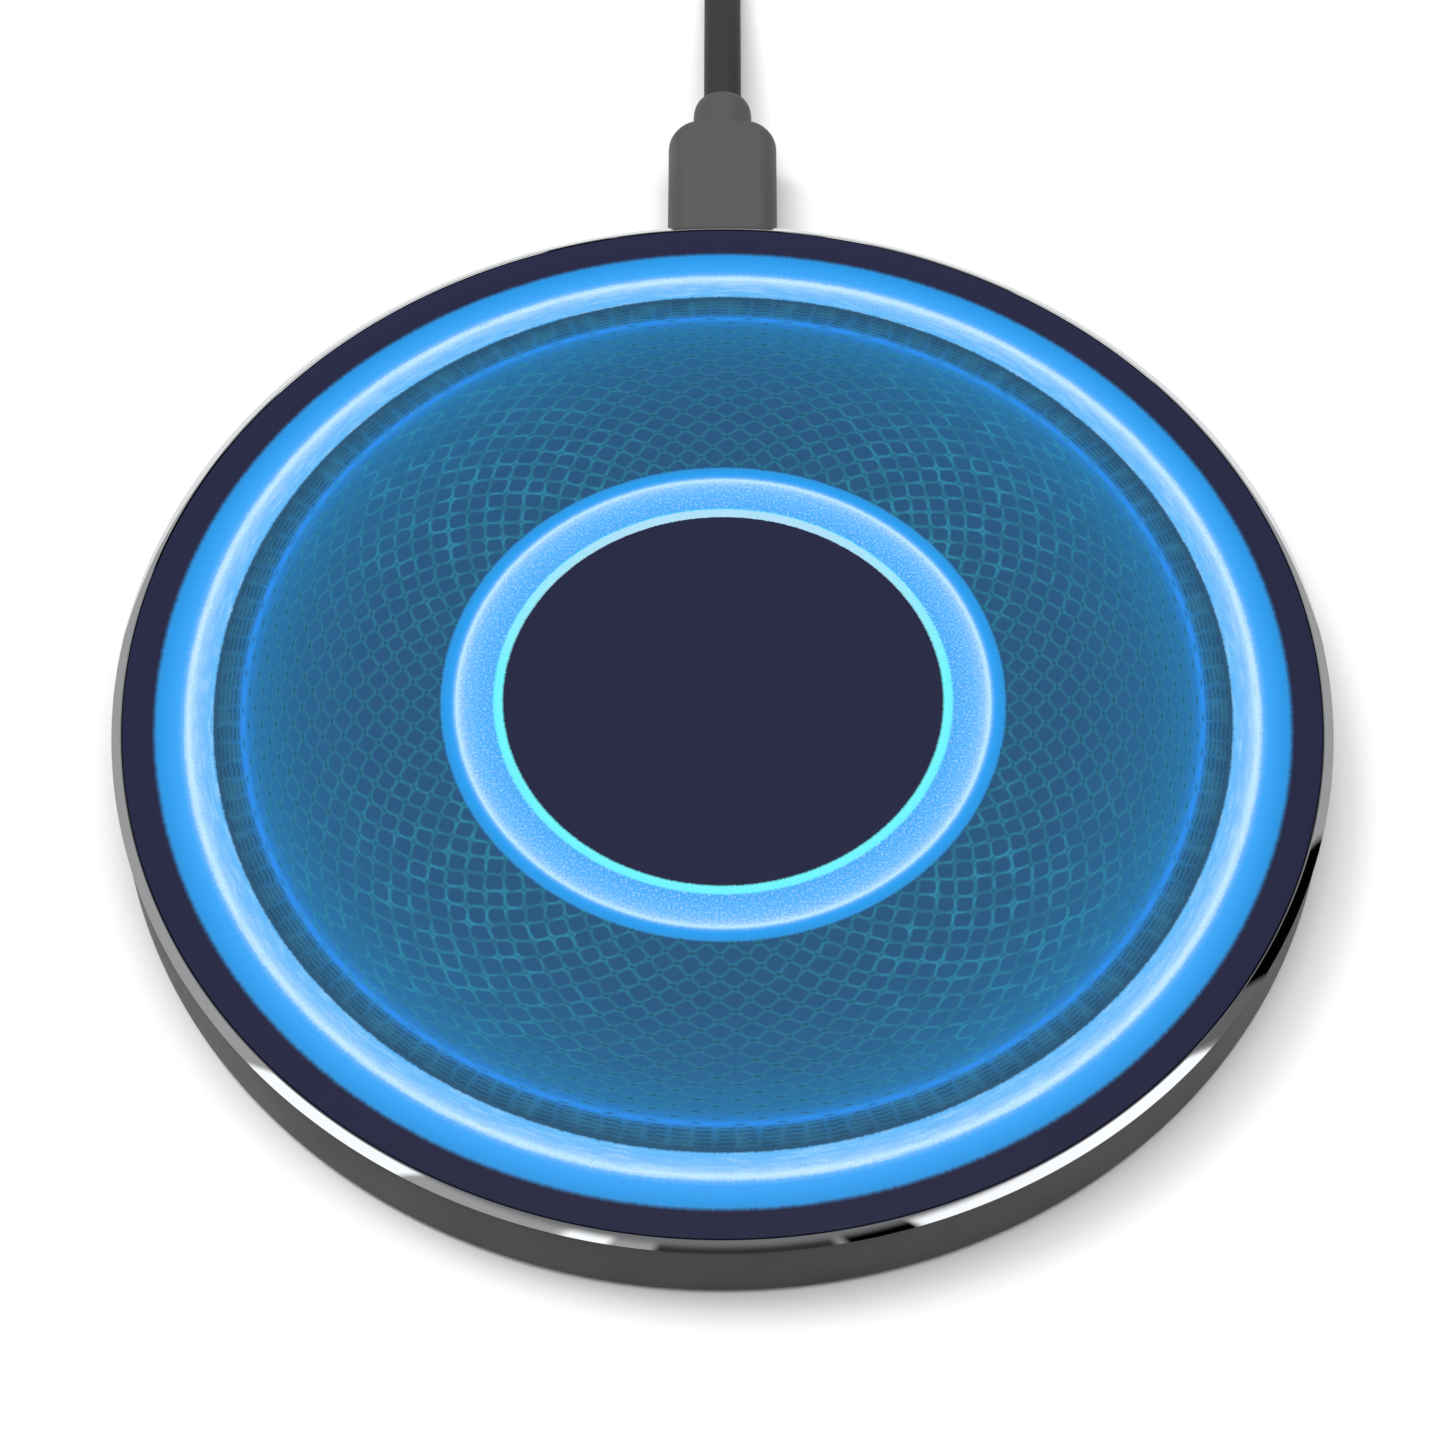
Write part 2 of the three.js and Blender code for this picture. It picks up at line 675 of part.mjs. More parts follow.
boardScrewPlaces.forEach((place, index) => {
  const tip = floorTop - 0.6;
  const geometry = screw(
    BOARD_SCREW_RADIUS,
    BOARD_SCREW_HEAD_RADIUS,
    BOARD_SCREW_HEAD,
    boardTop,
    tip,
  );
  addPiece(pad, `board_screw_${index + 1}`, geometry, steel, [place.x, place.y, 0]);
});

// Each part on the board: its name, width, depth and height, its place as a radius and an angle
// from the board's middle line, and its material. Each one faces the pad's axis.
const boardMiddle = (boardInner + boardOuter) / 2;
const boardParts = [
  ["power_inductor", 6.6, 6.6, 3, boardMiddle, 16, chipEpoxy],
  ["controller_chip", 7, 7, 0.9, boardMiddle, 33.5, chipEpoxy],
  ["driver_chip", 5, 5, 0.9, boardMiddle, -15.5, chipEpoxy],
  ["clock_crystal", 2.5, 3.2, 0.8, boardMiddle + 1, 44, tin],
  ["status_led", 1.8, 1, 1.2, boardOuter - 1.8, LAMP_ANGLE - 90, whitePlastic],
  ["input_capacitor_1", 1.6, 3.2, 1.6, boardMiddle, 24.6, ceramic],
  ["input_capacitor_2", 1.6, 3.2, 1.6, boardMiddle, -22, ceramic],
  ["resonant_capacitor_1", 3.2, 4.5, 2, boardOuter - 3.5, -46, ceramic],
  ["resonant_capacitor_2", 3.2, 4.5, 2, boardOuter - 3.5, -39.5, ceramic],
  ["resonant_capacitor_3", 3.2, 4.5, 2, boardOuter - 3.5, -33, ceramic],
  ["resonant_capacitor_4", 3.2, 4.5, 2, boardOuter - 3.5, -26.5, ceramic],
];
for (const [name, width, depth, height, radius, angle, material] of boardParts) {
  const geometry = block(width, depth, height, 0, 0, boardTop);
  const place = polar(radius, 90 + angle);
  addPiece(pad, name, geometry, material, [place.x, place.y, 0], radians(angle));
}

// ---------------------------------------------------------------- plug in the pad

const cable = new THREE.Group();

// A moulded plug body: its section across, kept inside its outline from above.
function mouldedBody(section, plan, front, back, centre, height) {
  const across = solid(extrudedAlongY(section, front, back, centre));
  const above = solid(extrudedUp(plan, centre - height, centre + height));
  return geometryOf(across.intersect(above));
}

// An outline from above with a square front and round back corners.
function shoulderedPlan(width, front, back, radius) {
  const x = width / 2;
  const outline = new THREE.Shape();
  outline.moveTo(-x, front);
  outline.lineTo(x, front);
  outline.absarc(x - radius, back - radius, radius, 0, Math.PI / 2);
  outline.absarc(radius - x, back - radius, radius, Math.PI / 2, Math.PI);
  outline.closePath();
  return outline;
}

function plugOvermold() {
  const body = mouldedBody(
    roundedRectangle(PLUG_WIDTH, PLUG_HEIGHT, PLUG_SIDE_RADIUS),
    shoulderedPlan(PLUG_WIDTH, plugFront, plugBack, PLUG_SHOULDER_RADIUS),
    plugFront,
    plugBack,
    socketCentre,
    PLUG_HEIGHT,
  );
  const held = new THREE.Shape(
    slantedOutline(plugShellWidth + 2 * SLIP_GAP, plugShellHeight + 2 * SLIP_GAP, SOCKET_CORNER),
  );
  const heldBack = plugFront + PLUG_SHELL_HELD + SLIP_GAP;
  return shaped(body, [], [extrudedAlongY(held, plugFront - 1, heldBack, socketCentre)]);
}

// The round collar, which ends in a dome where the cable leaves it.
function plugCollar() {
  const steps = 5;
  const end = cableRadius + SLIP_GAP;
  const dome = Array.from({ length: steps + 1 }, (_, i) => {
    const angle = (i / steps) * (Math.PI / 2);
    const radius = end + (COLLAR_RADIUS - end) * Math.cos(angle);
    return [radius, COLLAR_LENGTH - COLLAR_DOME * (1 - Math.sin(angle))];
  });
  return turned([[0, 0], [COLLAR_RADIUS, 0], ...dome, [0, COLLAR_LENGTH]], SMALL_FACETS)
    .rotateX(-Math.PI / 2)
    .translate(0, plugBack, socketCentre);
}

const plugTip = plugFront - PLUG_SHELL_DEPTH;
const plugShell = metalShell(
  plugShellWidth,
  plugShellHeight,
  PLUG_SHELL_WALL,
  SOCKET_CORNER,
  plugTip,
  plugFront + PLUG_SHELL_HELD,
  socketCentre,
);
const insulatorLow = socketCentre - plugShellHeight / 2 + PLUG_SHELL_WALL + SLIP_GAP / 2;
const insulatorWidth = plugShellWidth - 2 * PLUG_SHELL_WALL - 2 * SOCKET_CORNER;
const insulatorLength = PLUG_SHELL_DEPTH + PLUG_SHELL_HELD - 2 * FREE_GAP;
const plugInsulator = block(
  insulatorWidth,
  insulatorLength,
  PLUG_INSULATOR,
  0,
  plugTip + FREE_GAP + insulatorLength / 2,
  insulatorLow,
);
addPiece(cable, "plug_shell", plugShell, tin);
addPiece(cable, "plug_insulator", plugInsulator, socketPlastic);
addPiece(cable, "plug_overmold", plugOvermold(), plugPvc);
addPiece(cable, "plug_collar", plugCollar(), plugPvc);

// ---------------------------------------------------------------- cable

// Everything from here to the far plug is placed from the collar's end, where the cable comes out.
const lead = new THREE.Group();
lead.position.y = cableExit;

// From the collar straight back, down to the table and up to the winding's lowest turn.
const runRoute = [
  [0, FREE_GAP, socketCentre],
  [0, 4.5, 3.9],
  [0, 8.5, 3.4],
  [0, 12.5, 2.6],
  [0, 16.5, 1.9],
  [0, 20.5, cableRadius],
  [0, 25.5, cableRadius],
  [0, 34.5, cableRadius],
  [0, WINDING_BEHIND - windingReach, cableRadius + 0.2],
];

// From the winding's top turn down to the table, round a bend and back to the USB-A plug.
const tailRoute = [
  [0, WINDING_BEHIND + windingReach, 7.4],
  [0, 72.5, 5.8],
  [1, 77, 4],
  [3.2, 81.5, 2.5],
  [7.5, 86.2, cableRadius],
  [15, 88.5, cableRadius],
  [22.5, 86.2, cableRadius],
  [27.4, 81.3, 2],
  [29.6, 76, 3.2],
  [USB_A_X, usbABack + USB_A_RELIEF_LENGTH + 2 * FREE_GAP, usbACentre],
];

// The outer shape of the wound cable: two full layers, and one turn on top of them.
function windingShape() {
  const step = windingOuter - turnPitch;
  return turned(
    [
      [innerTurn - cableRadius, windingBottom],
      [windingOuter, windingBottom],
      [windingOuter, layerTop(3)],
      [step, layerTop(3)],
      [step, layerTop(2)],
      [innerTurn - cableRadius, layerTop(2)],
    ],
    MIDDLE_FACETS,
  ).translate(windingX, WINDING_BEHIND, 0);
}

// A strap round the wound cable.
function cableTie() {
  // The strap is straight across its width, so it clears the winding's inside at its two edges.
  const inside = innerTurn - cableRadius;
  const inner = Math.sqrt(inside ** 2 - (TIE_WIDTH / 2) ** 2) - FREE_GAP;
  const outer = windingOuter + FREE_GAP;
  const top = layerTop(3) + SLIP_GAP;
  const strap = new THREE.BoxGeometry(
    outer - inner + 2 * TIE_THICKNESS,
    TIE_WIDTH,
    top + TIE_THICKNESS,
  ).translate((inner + outer) / 2, 0, (top + TIE_THICKNESS) / 2);
  const opening = new THREE.BoxGeometry(
    outer - inner,
    TIE_WIDTH + 2,
    top - TIE_THICKNESS,
  ).translate((inner + outer) / 2, 0, (top + TIE_THICKNESS) / 2);
  return shaped(strap, [], [opening]);
}

addPiece(lead, "cable_run", tube(runRoute, CABLE_DIAMETER, 8), cablePvc);
addPiece(lead, "cable_coil", windingShape(), cablePvc);
const tieAt = [windingX, WINDING_BEHIND, 0];
addPiece(lead, "cable_tie", cableTie(), strapFabric, tieAt, radians(TIE_ANGLE));
addPiece(lead, "cable_tail", tube(tailRoute, CABLE_DIAMETER, 14), cablePvc);

// ---------------------------------------------------------------- USB-A plug

function usbAOvermold() {
  const body = mouldedBody(
    roundedRectangle(USB_A_BODY_WIDTH, USB_A_BODY_HEIGHT, 2),
    shoulderedPlan(USB_A_BODY_WIDTH, usbAFront, usbABack, 2.5),
    usbAFront,
    usbABack,
    usbACentre,
    USB_A_BODY_HEIGHT,
  );
  const pocket = block(
    USB_A_WIDTH + 2 * SLIP_GAP,
    2 * (USB_A_HELD + SLIP_GAP),
    USB_A_HEIGHT + 2 * SLIP_GAP,
    0,
    usbAFront,
    usbACentre - USB_A_HEIGHT / 2 - SLIP_GAP,
  );
  return shaped(body, [], [pocket]).translate(USB_A_X, 0, 0);
}

// A tapered relief with three grooves round it.
function usbARelief() {
  const grooves = 3;
  const pitch = USB_A_RELIEF_LENGTH / (grooves + 1);
  const taper = (USB_A_RELIEF_RADIUS - cableRadius - 0.4) / USB_A_RELIEF_LENGTH;
  const radiusAt = (along) => USB_A_RELIEF_RADIUS - taper * along;
  const outline = [[0, 0], [USB_A_RELIEF_RADIUS, 0]];
  for (let groove = 1; groove <= grooves; groove += 1) {
    const middle = groove * pitch;
    outline.push([radiusAt(middle), middle - pitch / 4]);
    outline.push([radiusAt(middle) - 0.4, middle]);
    outline.push([radiusAt(middle), middle + pitch / 4]);
  }
  outline.push([radiusAt(USB_A_RELIEF_LENGTH), USB_A_RELIEF_LENGTH]);
  outline.push([0, USB_A_RELIEF_LENGTH]);
  return turned(outline, SMALL_FACETS)
    .rotateX(-Math.PI / 2)
    .translate(USB_A_X, usbABack + SLIP_GAP, usbACentre);
}

function usbAShell() {
  const outer = block(
    USB_A_WIDTH,
    USB_A_OUT + USB_A_HELD,
    USB_A_HEIGHT,
    0,
    (USB_A_MOUTH_Y + usbAFront + USB_A_HELD) / 2,
    usbACentre - USB_A_HEIGHT / 2,
  );
  const hollow = block(
    USB_A_WIDTH - 2 * USB_A_WALL,
    USB_A_OUT + USB_A_HELD + 2,
    USB_A_HEIGHT - 2 * USB_A_WALL,
    0,
    (USB_A_MOUTH_Y + usbAFront + USB_A_HELD) / 2,
    usbACentre - USB_A_HEIGHT / 2 + USB_A_WALL,
  );
  const latchY = USB_A_MOUTH_Y + USB_A_OUT / 2 - 1;
  const latches = [-1, 1].map((side) =>
    block(2.2, 2.2, USB_A_HEIGHT + 2, side * 2.7, latchY, usbACentre - USB_A_HEIGHT / 2 - 1),
  );
  return shaped(outer, [], [hollow, ...latches]).translate(USB_A_X, 0, 0);
}

const usbAInsulatorLow = usbACentre - USB_A_HEIGHT / 2 + USB_A_WALL + SLIP_GAP;
const usbAInsulatorTop = usbAInsulatorLow + USB_A_INSULATOR;
const usbAInsulator = block(
  USB_A_WIDTH - 2 * USB_A_WALL - 2 * SLIP_GAP,
  USB_A_OUT + USB_A_HELD - 2 * FREE_GAP,
  USB_A_INSULATOR,
  USB_A_X,
  (USB_A_MOUTH_Y + usbAFront + USB_A_HELD) / 2,
  usbAInsulatorLow,
);
addPiece(lead, "usb_a_overmold", usbAOvermold(), plugPvc);
addPiece(lead, "usb_a_strain_relief", usbARelief(), plugPvc);
addPiece(lead, "usb_a_shell", usbAShell(), tin);
addPiece(lead, "usb_a_insulator", usbAInsulator, whitePlastic);
CONTACT_PLACES.forEach(([across, length], index) => {
  const middle = USB_A_MOUTH_Y + 1.5 + length / 2;
  const geometry = block(
    CONTACT_WIDTH,
    length,
    CONTACT_THICKNESS,
    USB_A_X + across,
    middle,
    usbAInsulatorTop,
  );
  addPiece(lead, `usb_a_contact_${index + 1}`, geometry, gold);
});

// ---------------------------------------------------------------- the whole object

cable.add(lead);

const chargingPad = new THREE.Group();
chargingPad.add(pad, cable);

export default chargingPad;
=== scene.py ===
"""Looks for a round wireless charging pad with its plug-in cable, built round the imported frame.

Everything is in metres. The origin is the middle of the pad's underside, on the table.
"""

import logging
import math
from dataclasses import dataclass, field
from enum import Enum
from functools import lru_cache, partial
from typing import Any

import bmesh
import bpy
import numpy as np
from mathutils import Matrix, Vector


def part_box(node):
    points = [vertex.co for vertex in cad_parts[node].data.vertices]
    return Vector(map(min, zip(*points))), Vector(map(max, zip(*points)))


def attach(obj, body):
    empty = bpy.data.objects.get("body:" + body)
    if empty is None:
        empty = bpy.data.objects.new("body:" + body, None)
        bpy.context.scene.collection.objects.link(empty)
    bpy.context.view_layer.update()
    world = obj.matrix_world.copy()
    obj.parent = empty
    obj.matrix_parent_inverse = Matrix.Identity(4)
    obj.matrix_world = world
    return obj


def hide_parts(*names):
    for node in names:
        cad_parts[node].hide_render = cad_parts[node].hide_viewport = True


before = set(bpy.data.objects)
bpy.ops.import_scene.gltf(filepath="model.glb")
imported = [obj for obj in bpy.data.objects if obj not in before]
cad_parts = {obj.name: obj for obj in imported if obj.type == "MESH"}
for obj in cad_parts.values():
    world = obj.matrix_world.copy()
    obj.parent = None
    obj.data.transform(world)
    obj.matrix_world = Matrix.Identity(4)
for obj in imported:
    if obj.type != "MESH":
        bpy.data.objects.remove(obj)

LOG = logging.getLogger("charging_pad")
MM = 0.001

# A noise seldom leaves this part of 0 to 1, so a range that reads one starts and ends here.
NOISE_SPAN = {1: 0.3, 2: 0.7}


class Body(Enum):
    """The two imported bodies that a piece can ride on."""

    PAD = "pad"
    CABLE = "cable"


# ------------------------------------------------------------------ helpers


def hex_colour(code: str) -> tuple[float, float, float, float]:
    """Turns an sRGB hex colour to linear RGBA.

    Args:
        code: Six hex digits, such as "2d2d45".

    Returns:
        Red, green, blue and an alpha of 1, in linear light.
    """
    channels = [int(code[i : i + 2], 16) / 255 for i in (0, 2, 4)]
    linear = [c / 12.92 if c <= 0.04045 else ((c + 0.055) / 1.055) ** 2.4 for c in channels]
    return (*linear, 1.0)


def tinted(code: str, share: float) -> tuple[float, float, float, float]:
    """A hex colour in linear light, made lighter or darker by a share."""
    return (*(min(1.0, c * share) for c in hex_colour(code)[:3]), 1.0)


def add_node(
    tree: bpy.types.NodeTree,
    kind: str,
    inputs: dict[Any, Any] | None = None,
    stops: list[tuple[float, str]] | None = None,
    **settings: Any,
) -> Any:
    """Adds one node with its settings, its values and its links.

    Args:
        tree: The node tree that takes the node.
        kind: The node's type name.
        inputs: Socket name or number to a value, or to the socket that feeds it.
        stops: A ramp's places from 0 to 1, each with its hex colour.
        **settings: The node's own properties.

    Returns:
        The node's first output, or nothing where it has none.
    """
    node = tree.nodes.new(kind)
    for name, value in settings.items():
        setattr(node, name, value)
    for key, value in (inputs or {}).items():
        if isinstance(value, bpy.types.NodeSocket):
            tree.links.new(value, node.inputs[key])
        else:
            node.inputs[key].default_value = value
    for index, (place, code) in enumerate(stops or []):
        elements = node.color_ramp.elements
        element = elements[index] if index < 2 else elements.new(place)
        element.position = place
        element.color = hex_colour(code)
    return node.outputs[0] if node.outputs else None


@dataclass(frozen=True)
class Span:
    """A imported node's box, with the sizes that the pieces take from it."""

    low: Vector
    high: Vector

    @classmethod
    def of(cls, node: str) -> "Span":
        """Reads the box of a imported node."""
        return cls(*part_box(node))

    @property
    def middle(self) -> Vector:
        """The box's centre."""
        return (self.low + self.high) / 2

    @property
    def size(self) -> Vector:
        """The box's three sides."""
        return self.high - self.low


def new_piece(
    name: str,
    points: list[tuple[float, float, float]] | np.ndarray,
    faces: list[tuple[int, ...]],
    crease: float = 35.0,
) -> bpy.types.Object:
    """Makes a closed mesh object with outward faces, smooth but for its creases.

    Args:
        name: The piece's name.
        points: Its vertices, in metres.
        faces: Its faces, as vertex numbers.
        crease: The angle in degrees past which an edge stays sharp.

    Returns:
        The new object, linked to the scene at the origin.
    """
    mesh = bpy.data.meshes.new(name)
    mesh.from_pydata([tuple(p) for p in points], [], faces)
    shape = bmesh.new()
    shape.from_mesh(mesh)
    bmesh.ops.remove_doubles(shape, verts=shape.verts, dist=1e-7)
    bmesh.ops.recalc_face_normals(shape, faces=shape.faces)
    shape.to_mesh(mesh)
    shape.free()
    soften(mesh, crease)
    piece = bpy.data.objects.new(name, mesh)
    bpy.context.scene.collection.objects.link(piece)
    return piece


def soften(mesh: bpy.types.Mesh, crease: float) -> None:
    """Shades a mesh smooth and marks the edges past an angle as sharp.

    Args:
        mesh: The mesh to shade.
        crease: The angle in degrees.
    """
    shape = bmesh.new()
    shape.from_mesh(mesh)
    limit = math.radians(crease)
    for face in shape.faces:
        face.smooth = True
    for edge in shape.edges:
        edge.smooth = len(edge.link_faces) == 2 and edge.calc_face_angle(0.0) < limit
    shape.to_mesh(mesh)
    shape.free()


def turned(
    name: str,
    profile: list[tuple[float, float]],
    segments: int = 256,
    closed: bool = True,
    crease: float = 35.0,
) -> bpy.types.Object:
    """Turns a profile of (radius, height) points round Z.

    Args:
        name: The piece's name.
        profile: The outline in metres. Points on the axis become poles.
        segments: How many sides the piece has round it.
        closed: Whether the last point joins the first, as in a ring.
        crease: The angle in degrees past which an edge stays sharp.

    Returns:
        The turned piece.
    """
    points: list[tuple[float, float, float]] = []
    loops: list[list[int]] = []
    for radius, height in profile:
        if radius < 1e-9:
            loops.append([len(points)] * segments)
            points.append((0.0, 0.0, height))
            continue
        first = len(points)
        for i in range(segments):
            angle = 2 * math.pi * i / segments
            points.append((radius * math.cos(angle), radius * math.sin(angle), height))
        loops.append(list(range(first, first + segments)))
    pairs = list(zip(loops, loops[1:] + loops[:1])) if closed else list(zip(loops, loops[1:]))
    faces = []
    for low, high in pairs:
        for i in range(segments):
            j = (i + 1) % segments
            corners = list(dict.fromkeys((low[i], low[j], high[j], high[i])))
            if len(corners) > 2:
                faces.append(tuple(corners))
    return new_piece(name, points, faces, crease)


def lofted(name: str, sections: list[list[Vector]], crease: float = 35.0) -> bpy.types.Object:
    """Skins a row of equal loops and closes its two ends.

    Args:
        name: The piece's name.
        sections: The loops, each with the same number of points.
        crease: The angle in degrees past which an edge stays sharp.

    Returns:
        The lofted piece.
    """
    count = len(sections[0])
    points = [tuple(p) for loop in sections for p in loop]
    faces = [tuple(range(count)), tuple(range(len(points) - count, len(points)))]
    for row in range(len(sections) - 1):
        for i in range(count):
            j = (i + 1) % count
            a, b = row * count, (row + 1) * count
            faces.append((a + i, a + j, b + j, b + i))
    return new_piece(name, points, faces, crease)


def round_rectangle(
    width: float, height: float, radius: float, corner_steps: int = 10, rise: float = 0.0
) -> list[tuple[float, float]]:
    """The points of a rectangle with round corners, centred on the origin.

    Args:
        width: Its full width.
        height: Its full height.
        radius: Its corner radius, which is kept inside the sides.
        corner_steps: How many steps each corner has.
        rise: How high an oval corner is. The corners are round where it is 0.

    Returns:
        The points, anticlockwise.
    """
    rise = min(rise or radius, height / 2 - 1e-6)
    radius = min(radius, width / 2 - 1e-6)
    points = []
    for quarter, (x, y) in enumerate([(1, 1), (-1, 1), (-1, -1), (1, -1)]):
        for step in range(corner_steps + 1):
            angle = (quarter + step / corner_steps) * math.pi / 2
            points.append(
                (
                    x * (width / 2 - radius) + radius * math.cos(angle),
                    y * (height / 2 - rise) + rise * math.sin(angle),
                )
            )
    return points


def cut_out(piece: bpy.types.Object, cutters: list[bpy.types.Object], crease: float = 35.0) -> None:
    """Takes closed shapes out of a piece and removes them.

    Args:
        piece: The piece to cut.
        cutters: The shapes to take out.
        crease: The angle in degrees past which an edge stays sharp afterwards.
    """
    for cutter in cutters:
        modifier = piece.modifiers.new("cut", "BOOLEAN")
        modifier.object = cutter
        modifier.operation = "DIFFERENCE"
        modifier.solver = "EXACT"
    bake_modifiers(piece)
    soften(piece.data, crease)
    for cutter in cutters:
        bpy.data.objects.remove(cutter)


def bake_modifiers(piece: bpy.types.Object) -> None:
    """Replaces a piece's mesh by what its modifiers make, and removes them."""
    bpy.context.view_layer.update()
    made = bpy.data.meshes.new_from_object(piece.evaluated_get(bpy.context.evaluated_depsgraph_get()))
    piece.modifiers.clear()
    piece.data = made


def dress(
    piece: bpy.types.Object, finish: "Finish", body: Body, replaces: tuple[str, ...] = ()
) -> bpy.types.Object:
    """Gives a finished piece its material, its body and the nodes that it stands for.

    Args:
        piece: The finished piece.
        finish: What it is made of.
        body: The body that it rides on.
        replaces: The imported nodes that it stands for.

    Returns:
        The same piece.
    """
    piece.data.materials.clear()
    piece.data.materials.append(finish.material())
    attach(piece, body.value)
    if replaces:
        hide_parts(*replaces)
    LOG.info("%s: %s, %d faces", piece.name, finish.name, len(piece.data.polygons))
    return piece


class Recipe:
    """A Geometry Nodes tree with named inputs, which ends in one plain mesh."""

    def __init__(self, name: str, sizes: dict[str, float | int]) -> None:
        """Starts a tree.

        Args:
            name: The tree's name.
            sizes: Each named input and its value.
        """
        self.tree = bpy.data.node_groups.new(name, "GeometryNodeTree")
        self.sizes = sizes
        self.identifiers: dict[str, str] = {}
        for label, value in sizes.items():
            kind = "NodeSocketInt" if isinstance(value, int) else "NodeSocketFloat"
            socket = self.tree.interface.new_socket(label, in_out="INPUT", socket_type=kind)
            self.identifiers[label] = socket.identifier
        self.tree.interface.new_socket("Geometry", in_out="OUTPUT", socket_type="NodeSocketGeometry")
        self.given = add_node(self.tree, "NodeGroupInput").node.outputs

    def add(self, kind: str, inputs: dict[Any, Any] | None = None, **settings: Any) -> Any:
        """Adds a node and returns its first output."""
        return add_node(self.tree, kind, inputs, **settings)

    def made(self, geometry: Any, finish: "Finish", crease: float = 35.0) -> bpy.types.Object:
        """Ends the tree, runs it and returns its result as a plain mesh.

        Args:
            geometry: The socket that holds the result.
            finish: The material that it sets.
            crease: The angle in degrees past which an edge stays sharp.

        Returns:
            The new object, with no modifier.
        """
        real = self.add("GeometryNodeRealizeInstances", {0: geometry})
        painted = self.add("GeometryNodeSetMaterial", {"Geometry": real, "Material": finish.material()})
        add_node(self.tree, "NodeGroupOutput", {0: painted})
        piece = bpy.data.objects.new(self.tree.name, bpy.data.meshes.new(self.tree.name))
        bpy.context.scene.collection.objects.link(piece)
        modifier = piece.modifiers.new("recipe", "NODES")
        modifier.node_group = self.tree
        for label, value in self.sizes.items():
            modifier[self.identifiers[label]] = value
        bake_modifiers(piece)
        soften(piece.data, crease)
        return piece


# ------------------------------------------------------------------ finishes


@dataclass(frozen=True)
class Finish:
    """What a surface is made of. Each kind fills in its own shader sockets."""

    name: str

    def sockets(self, tree: bpy.types.NodeTree) -> dict[str, Any]:
        """The shader's sockets, each with a value or the socket that feeds it."""
        raise NotImplementedError

    @lru_cache(maxsize=None)
    def material(self) -> bpy.types.Material:
        """Builds the material once."""
        material = bpy.data.materials.new(self.name)
        material.use_nodes = True
        tree = material.node_tree
        tree.nodes.clear()
        shader = add_node(tree, "ShaderNodeBsdfPrincipled", self.sockets(tree))
        add_node(tree, "ShaderNodeOutputMaterial", {"Surface": shader})
        return material

    @staticmethod
    def millimetres(tree: bpy.types.NodeTree, flat: bool = False) -> bpy.types.NodeSocket:
        """Object coordinates in millimetres.

        Args:
            tree: The material's tree.
            flat: Whether the height is dropped.

        Returns:
            The vector's socket.
        """
        place = add_node(tree, "ShaderNodeTexCoord").node.outputs["Object"]
        scale = (1000.0, 1000.0, 0.0 if flat else 1000.0)
        return add_node(tree, "ShaderNodeVectorMath", {0: place, 1: scale}, operation="MULTIPLY")

    @staticmethod
    def patterned(
        tree: bpy.types.NodeTree, pattern: Any, low: Any, high: Any, strength: float, depth_mm: float
    ) -> dict[str, Any]:
        """The colour and the relief that one pattern gives a surface.

        Args:
            tree: The material's tree.
            pattern: The pattern, from 0 to 1.
            low: The linear colour where the pattern is 0.
            high: The linear colour where it is 1.
            strength: How strongly the relief shows.
            depth_mm: How deep the relief is.

        Returns:
            The shader's colour and normal sockets.
        """
        colour = add_node(tree, "ShaderNodeMix", {0: pattern, 6: low, 7: high}, data_type="RGBA")
        relief = {"Height": pattern, "Strength": strength, "Distance": depth_mm * MM}
        bump = add_node(tree, "ShaderNodeBump", relief)
        return {"Base Color": colour.node.outputs[2], "Normal": bump}


@dataclass(frozen=True)
class MouldedPlastic(Finish):
    """Injection-moulded plastic from a spark-eroded tool.

    The tool's texture breaks up the reflection, and rubbed patches are a little smoother.
    """

    colour: str
    roughness: float = 0.45
    grain_mm: float = 0.12
    relief_mm: float = 0.006
    specular: float = 0.5
    tint: float = 0.1
    rubbed_scale: float = 0.09

    def sockets(self, tree: bpy.types.NodeTree) -> dict[str, Any]:
        """A tinted grain, a roughness that drifts, and the tool's fine relief."""
        place = self.millimetres(tree)
        fine = {"Vector": place, "Scale": 1 / self.grain_mm, "Detail": 2.0}
        grain = add_node(tree, "ShaderNodeTexNoise", fine)
        broad = {"Vector": place, "Scale": self.rubbed_scale, "Detail": 3.0}
        rubbed = add_node(tree, "ShaderNodeTexNoise", broad)
        drift = {3: self.roughness - 0.05, 4: self.roughness + 0.06}
        dark, light = tinted(self.colour, 1 - self.tint), tinted(self.colour, 1 + self.tint)
        return {
            **self.patterned(tree, grain, dark, light, 0.35, self.relief_mm),
            "Roughness": add_node(tree, "ShaderNodeMapRange", {0: rubbed, **NOISE_SPAN, **drift}),
            "Specular IOR Level": self.specular,
        }


@dataclass(frozen=True)
class CoatedBoard(MouldedPlastic):
    """White coated board for the table. It bounces little light up on the pad's sides."""

    bounce: str = "8c8c8c"

    def sockets(self, tree: bpy.types.NodeTree) -> dict[str, Any]:
        """The board's own sockets, with a duller colour for the light that it bounces."""
        sockets = MouldedPlastic.sockets(self, tree)
        bounced = add_node(tree, "ShaderNodeLightPath").node.outputs["Is Diffuse Ray"]
        colours = {0: bounced, 6: sockets["Base Color"], 7: hex_colour(self.bounce)}
        mixed = add_node(tree, "ShaderNodeMix", colours, data_type="RGBA")
        return {**sockets, "Base Color": mixed.node.outputs[2]}


